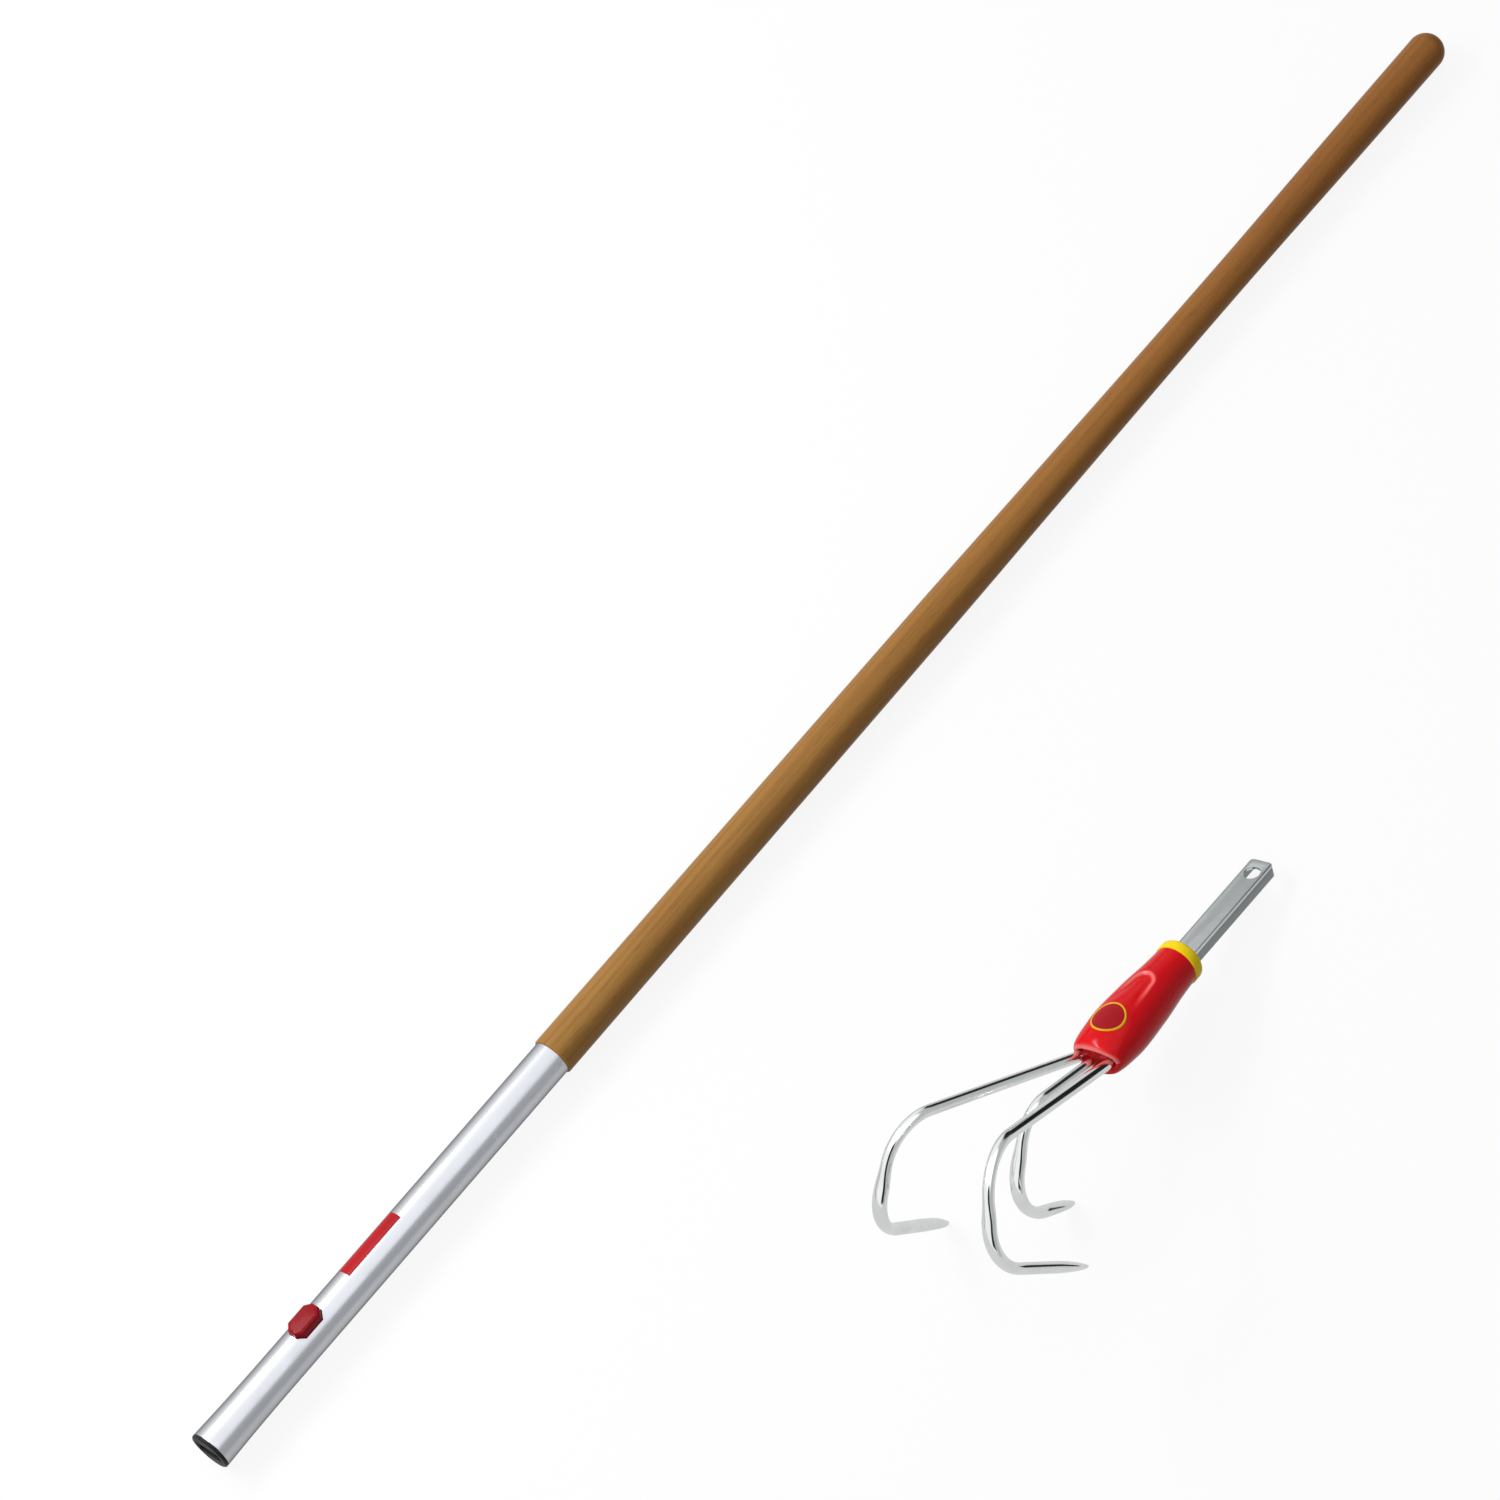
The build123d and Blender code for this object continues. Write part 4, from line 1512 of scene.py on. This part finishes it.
@dataclass
class Tang:
    """Folded channel of sheet steel with a rounded tip and a latch hole, and the collar round it."""

    half_width: float = 10.0 * MM
    half_depth: float = 4.25 * MM
    sheet: float = 2.0 * MM
    fold_r: float = 2.4 * MM
    fold_rings: int = 10
    bend_r: float = 0.8 * MM
    bend_rings: int = 5
    edge: float = 0.22 * MM
    tongue_start: float = 14.0 * MM
    tongue_overlap: float = 0.5 * MM
    tongue_gaps: Pair = (0.05 * MM, 0.02 * MM)
    channel_start: float = 47.15 * MM
    tip: float = 214.0 * MM
    tip_r: float = 4.4 * MM
    tip_rings: int = 12
    tip_spare: float = 2.0 * MM
    tool_back: float = 5.0 * MM
    tool_side: float = 0.3 * MM
    tool_height: float = 10.0 * MM
    hole_from_tip: float = 13.5 * MM
    hole_r: float = 6.2 * MM
    hole_sides: int = 48
    collar_sides: int = 128
    collar_from: float = 102.0 * MM
    collar_to: float = 111.0 * MM
    collar_r: float = 16.8 * MM
    collar_core: float = 1.0 * MM
    collar_crown: float = 2.8 * MM
    collar_rings: int = 10
    collar_edge: float = 0.7 * MM
    collar_round: float = 0.3
    slot_gap: float = 0.15 * MM
    slot_reach: float = 20.0 * MM

    def build(self, head: HeadFrame) -> None:
        """Folds the tang, rounds its tip, cuts its hole and adds the collar.

        Args:
            head: The head's own frame.
        """
        self.build_tang(head)
        self.build_collar(head)

    def channel(self) -> List[Vector]:
        """Outline of the folded channel, square to the tang.

        Returns:
            The points, in order, where the channel starts.
        """
        wide, deep = self.half_width, self.half_depth
        under = deep - self.sheet
        fold = (wide - self.fold_r, deep - self.fold_r)
        half = [(wide, -deep)] + arc(fold, self.fold_r, 0.0, 90.0, self.fold_rings)
        bend = (wide - self.sheet - self.bend_r, under - self.bend_r)
        inner = arc(bend, self.bend_r, 90.0, 0.0, self.bend_rings) + [(wide - self.sheet, -deep)]
        section = half + [(-y, z) for y, z in reversed(half)]
        section += [(-y, z) for y, z in reversed(inner)] + inner
        return [Vector((self.channel_start, y, z)) for y, z in section]

    def build_tang(self, head: HeadFrame) -> None:
        """Folds the channel, cuts tip and hole, and adds the tongue that goes into the sleeve.

        Args:
            head: The head's own frame.
        """
        wide, tip_r = self.half_width, self.tip_r
        length = self.tip - self.channel_start + self.tip_spare
        piece = Bench.prism("folded_tang", self.channel(), Vector((length, 0.0, 0.0)))
        start, side = self.channel_start - self.tool_back, wide + self.tool_side
        plan = [(start, -side)] + arc((self.tip - tip_r, tip_r - wide), tip_r, -90.0, 0.0, self.tip_rings)
        plan += arc((self.tip - tip_r, wide - tip_r), tip_r, 0.0, 90.0, self.tip_rings) + [(start, side)]
        outline = [Vector((x, y, -self.tool_height)) for x, y in plan]
        tool = Bench.prism("tip_tool", outline, Vector((0.0, 0.0, 2.0 * self.tool_height)))
        Bench.cut(piece, tool, "INTERSECT")
        last = 360.0 - 360.0 / self.hole_sides
        rim = arc((self.tip - self.hole_from_tip, 0.0), self.hole_r, 0.0, last, self.hole_sides - 1)
        outline = [Vector((x, y, 0.0)) for x, y in rim]
        Bench.cut(piece, Bench.prism("hole_tool", outline, Vector((0.0, 0.0, self.tool_height))))
        Bench.bevel(piece, self.edge, segments=2, above=50.0)
        middle = ((self.tongue_start + self.channel_start) / 2, 0.0, self.half_depth - self.sheet / 2)
        reach = (self.channel_start - self.tongue_start) / 2 + self.tongue_overlap
        half = (reach, wide - self.tongue_gaps[0], self.sheet / 2 - self.tongue_gaps[1])
        Bench.join(piece, Bench.block("tang_tongue", middle, half))
        Bench.close_up(piece, smooth=32.0)
        Bench.settle(piece, head.matrix)
        zinc = GalvanisedSheet(across=tuple(head.matrix.col[1][:3]))
        Bench.hand_over(piece, Body.HEAD, "galvanised_steel", zinc, "tang")

    def build_collar(self, head: HeadFrame) -> None:
        """Turns the collar and cuts the tang's slot into it.

        Args:
            head: The head's own frame.
        """
        rounded = self.collar_edge * self.collar_round
        stations = [
            (self.collar_from, self.collar_core),
            (self.collar_from, self.collar_r - self.collar_edge),
            (self.collar_from + rounded, self.collar_r - rounded),
            (self.collar_from + self.collar_edge, self.collar_r),
        ]
        for step in range(self.collar_rings + 1):
            angle = pi / 2 * step / self.collar_rings
            reach = self.collar_to - self.collar_crown * (1.0 - sin(angle))
            stations.append((reach, self.collar_r - self.collar_crown * (1.0 - cos(angle))))
        stations.append((self.collar_to, self.collar_core))
        piece = Bench.turned("crowned_collar", self.collar_sides, stations)
        Bench.close_up(piece, smooth=35.0)
        middle = ((self.collar_from + self.collar_to) / 2, 0.0, 0.0)
        half = (self.slot_reach, self.half_width + self.slot_gap, self.half_depth + self.slot_gap)
        Bench.cut(piece, Bench.block("slot_tool", middle, half))
        Bench.close_up(piece, smooth=35.0)
        Bench.settle(piece, head.matrix)
        Bench.hand_over(piece, Body.HEAD, "collar_yellow", Finishes.collar, "collar")


@dataclass
class Studio:
    """Pale floor, soft light and the photograph's camera."""

    camera_at: Triple = (-0.5842, -0.9071, 3.1330)
    azimuth: float = -51.8
    elevation: float = 64.0
    lens: float = 120.0
    sensor: float = 36.0
    floor_half: float = 30.0
    floor_tone: Colour = (0.95, 0.95, 0.95)
    floor_bounce: Colour = (0.30, 0.30, 0.30)
    floor_glow: float = 0.89
    floor_mirror: float = 0.62
    sill_bearing: float = 44.0
    sill_edge: Pair = (0.90, 0.95)
    sill_from: Pair = (0.29, 0.36)
    ambient_left: Colour = (0.72, 0.72, 0.72)
    ambient_right: Colour = (0.29, 0.29, 0.30)
    backdrop: Colour = (1.0, 1.0, 1.0)
    room_left: Colour = (1.0, 1.0, 1.0)
    room_right: Colour = (0.50, 0.515, 0.525)
    right_edge: Pair = (-0.20, 0.45)
    room_above: Colour = (1.38, 1.38, 1.41)
    above_edge: Pair = (0.70, 0.82)
    dark: Colour = (0.02, 0.022, 0.024)
    wall_bearing: float = 31.0
    wall_edge: Pair = (0.85, 0.92)
    strip_edge: Pair = (0.045, 0.09)
    strip_near: Pair = (0.35, 0.50)
    strip_foot: Pair = (0.08, 0.16)
    key_power: float = 35.0
    key_size: Pair = (1.6, 0.42)
    key_left: float = 1.75
    key_up: float = 0.30
    key_height: float = 1.45

    def __post_init__(self) -> None:
        """Works out the camera's right and ahead on the floor, and the middle of the tool."""
        self.turn_right = Vector((cos(radians(self.azimuth)), sin(radians(self.azimuth)), 0.0))
        self.turn_ahead = Vector((-self.turn_right.y, self.turn_right.x, 0.0))
        self.middle = (Vector(CAD_BOX[0]) + Vector(CAD_BOX[1])) / 2

    def build(self) -> None:
        """Makes the floor, the lamp, the world and the camera."""
        bpy.context.scene.view_settings.view_transform = "Standard"
        self.lay_floor()
        self.hang_lamp()
        self.light_world()
        self.set_camera()

    @staticmethod
    def rays(sheet: NodeSheet) -> Tuple[Wire, Wire]:
        """Tells rays from the camera, and rays that a mirror or glass sends on, from all others.

        Args:
            sheet: Node sheet of the floor or the world.

        Returns:
            Two switches, 0 or 1: for camera rays, and for mirrored or transmitted ones.
        """
        camera = sheet.node("ShaderNodeLightPath", out="Is Camera Ray")
        outputs = camera.socket.node.outputs
        return camera, Wire(sheet, outputs["Is Glossy Ray"]) + Wire(sheet, outputs["Is Transmission Ray"])

    def lay_floor(self) -> None:
        """Lays the floor at the lowest point of the tool."""
        Bench.clear()
        under = (self.middle.x, self.middle.y, CAD_BOX[0][2])
        bpy.ops.mesh.primitive_plane_add(size=2.0 * self.floor_half, location=under)
        floor = Bench.named("studio_floor")
        made = bpy.data.materials.new("floor_white")
        made.use_nodes = True
        sheet = NodeSheet(made.node_tree)
        camera, mirrored = self.rays(sheet)
        far = mirrored * self.sill(sheet)
        tone = sheet.blend(far, sheet.blend(camera, self.floor_bounce, self.floor_tone), self.dark)
        lit = sheet.node("ShaderNodeBsdfDiffuse", {}, {"Color": tone})
        glow = sheet.node("ShaderNodeEmission", {}, {"Color": (1.0, 1.0, 1.0), "Strength": 1.0})
        share = camera * self.floor_glow + (mirrored - far) * self.floor_mirror
        sheet.finish("ShaderNodeOutputMaterial", sheet.mix(share, lit, glow))
        floor.data.materials.append(made)

    def sill(self, sheet: NodeSheet) -> Wire:
        """Finds the far stretch of floor that the tines mirror as dark.

        Args:
            sheet: The floor's node sheet.

        Returns:
            The share of dark, from 0 to 1.
        """
        low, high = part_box("tine_right")
        start = (Vector(low) + Vector(high)) / 2
        x, y, _ = sheet.parts(sheet.node("ShaderNodeNewGeometry", out="Position"))
        aside, along = x - start.x, y - start.y
        reach = (aside * aside + along * along).root()
        bearing = radians(self.sill_bearing)
        way = self.turn_ahead * cos(bearing) + self.turn_right * sin(bearing)
        facing = (aside * way.x + along * way.y) / reach
        return facing.step(*self.sill_edge) * reach.step(*self.sill_from)

    def hang_lamp(self) -> None:
        """Hangs one long soft lamp at the upper left of the view."""
        Bench.clear()
        at = self.middle - self.turn_right * self.key_left + self.turn_ahead * self.key_up
        at.z = self.key_height
        bpy.ops.object.light_add(type="AREA", location=at)
        lamp = bpy.context.object
        lamp.name = "key_softbox"
        lamp.data.shape = "RECTANGLE"
        lamp.data.size, lamp.data.size_y = self.key_size
        lamp.data.energy = self.key_power
        lamp.rotation_euler = (self.middle - at).to_track_quat("-Z", "Y").to_euler()

    def light_world(self) -> None:
        """Lights the tool mostly from its left, and gives its metal a pale room with two dark places."""
        world = bpy.data.worlds.new("studio_room")
        bpy.context.scene.world = world
        world.use_nodes = True
        sheet = NodeSheet(world.node_tree)
        side_x, side_y, height = sheet.parts(sheet.node("ShaderNodeTexCoord", out="Generated"))
        right = side_x * self.turn_right.x + side_y * self.turn_right.y
        ahead = side_x * self.turn_ahead.x + side_y * self.turn_ahead.y
        bearing = radians(self.wall_bearing)
        wall = (ahead * cos(bearing) + right * sin(bearing)).step(*self.wall_edge)
        strip = (1.0 - (right * right).step(*self.strip_edge)) * (-1.0 * ahead).step(*self.strip_near)
        strip = strip * height.step(*self.strip_foot)
        rightwards = right.step(*self.right_edge)
        walls = sheet.blend(rightwards, self.room_left, self.room_right)
        pale = sheet.blend(height.step(*self.above_edge), walls, self.room_above)
        ambient = sheet.blend(rightwards, self.ambient_left, self.ambient_right)
        tones = (ambient, sheet.blend(wall + strip, pale, self.dark), self.backdrop)
        plain, room, white = [sheet.node("ShaderNodeBackground", {}, {"Color": tone}) for tone in tones]
        camera, mirrored = self.rays(sheet)
        shown = sheet.mix(camera, sheet.mix(mirrored, plain, room), white)
        sheet.finish("ShaderNodeOutputWorld", shown)

    def set_camera(self) -> None:
        """Stands the camera where the photograph was taken."""
        Bench.clear()
        bpy.ops.object.camera_add(location=self.camera_at)
        camera = bpy.context.object
        camera.name = "photo_camera"
        camera.data.lens = self.lens
        camera.data.sensor_width = self.sensor
        camera.rotation_euler = (radians(90.0 - self.elevation), 0.0, radians(self.azimuth))
        bpy.context.scene.camera = camera


def main() -> None:
    """Builds and dresses every sub-assembly, then the studio."""
    logging.basicConfig(level=logging.INFO, format="%(name)s: %(message)s")
    kept = {
        "ferrule_rivet": Finishes.rivet,
        "mouth_guide": Finishes.guide,
        "latch_carrier": Finishes.carrier,
        "latch_hook": Finishes.hook,
        "weld_beads": Finishes.weld,
    }
    for node, finish in kept.items():
        Bench.dress(node, finish)
    head = HeadFrame()
    Shaft().build()
    Socket().build()
    outer = {
        "rise": 22.7, "run": 172.0 * MM, "drop": 77.4 * MM, "drop_angle": 60.0,
        "hook": 95.7 * MM, "hook_angle": 39.2, "upper_bend": 36.0 * MM,
    }
    centre = {
        "rise": 14.0, "run": 80.0 * MM, "drop": 76.8 * MM, "drop_angle": 52.0,
        "hook": 73.0 * MM, "hook_angle": 30.0, "upper_bend": 30.0 * MM,
    }
    Tine("tine_left", 1, **outer).build(head)
    Tine("tine_centre", 0, **centre).build(head)
    Tine("tine_right", -1, **outer).build(head)
    Sleeve().build(head)
    Tang().build(head)
    Studio().build()


if __name__ == "__main__":
    main()
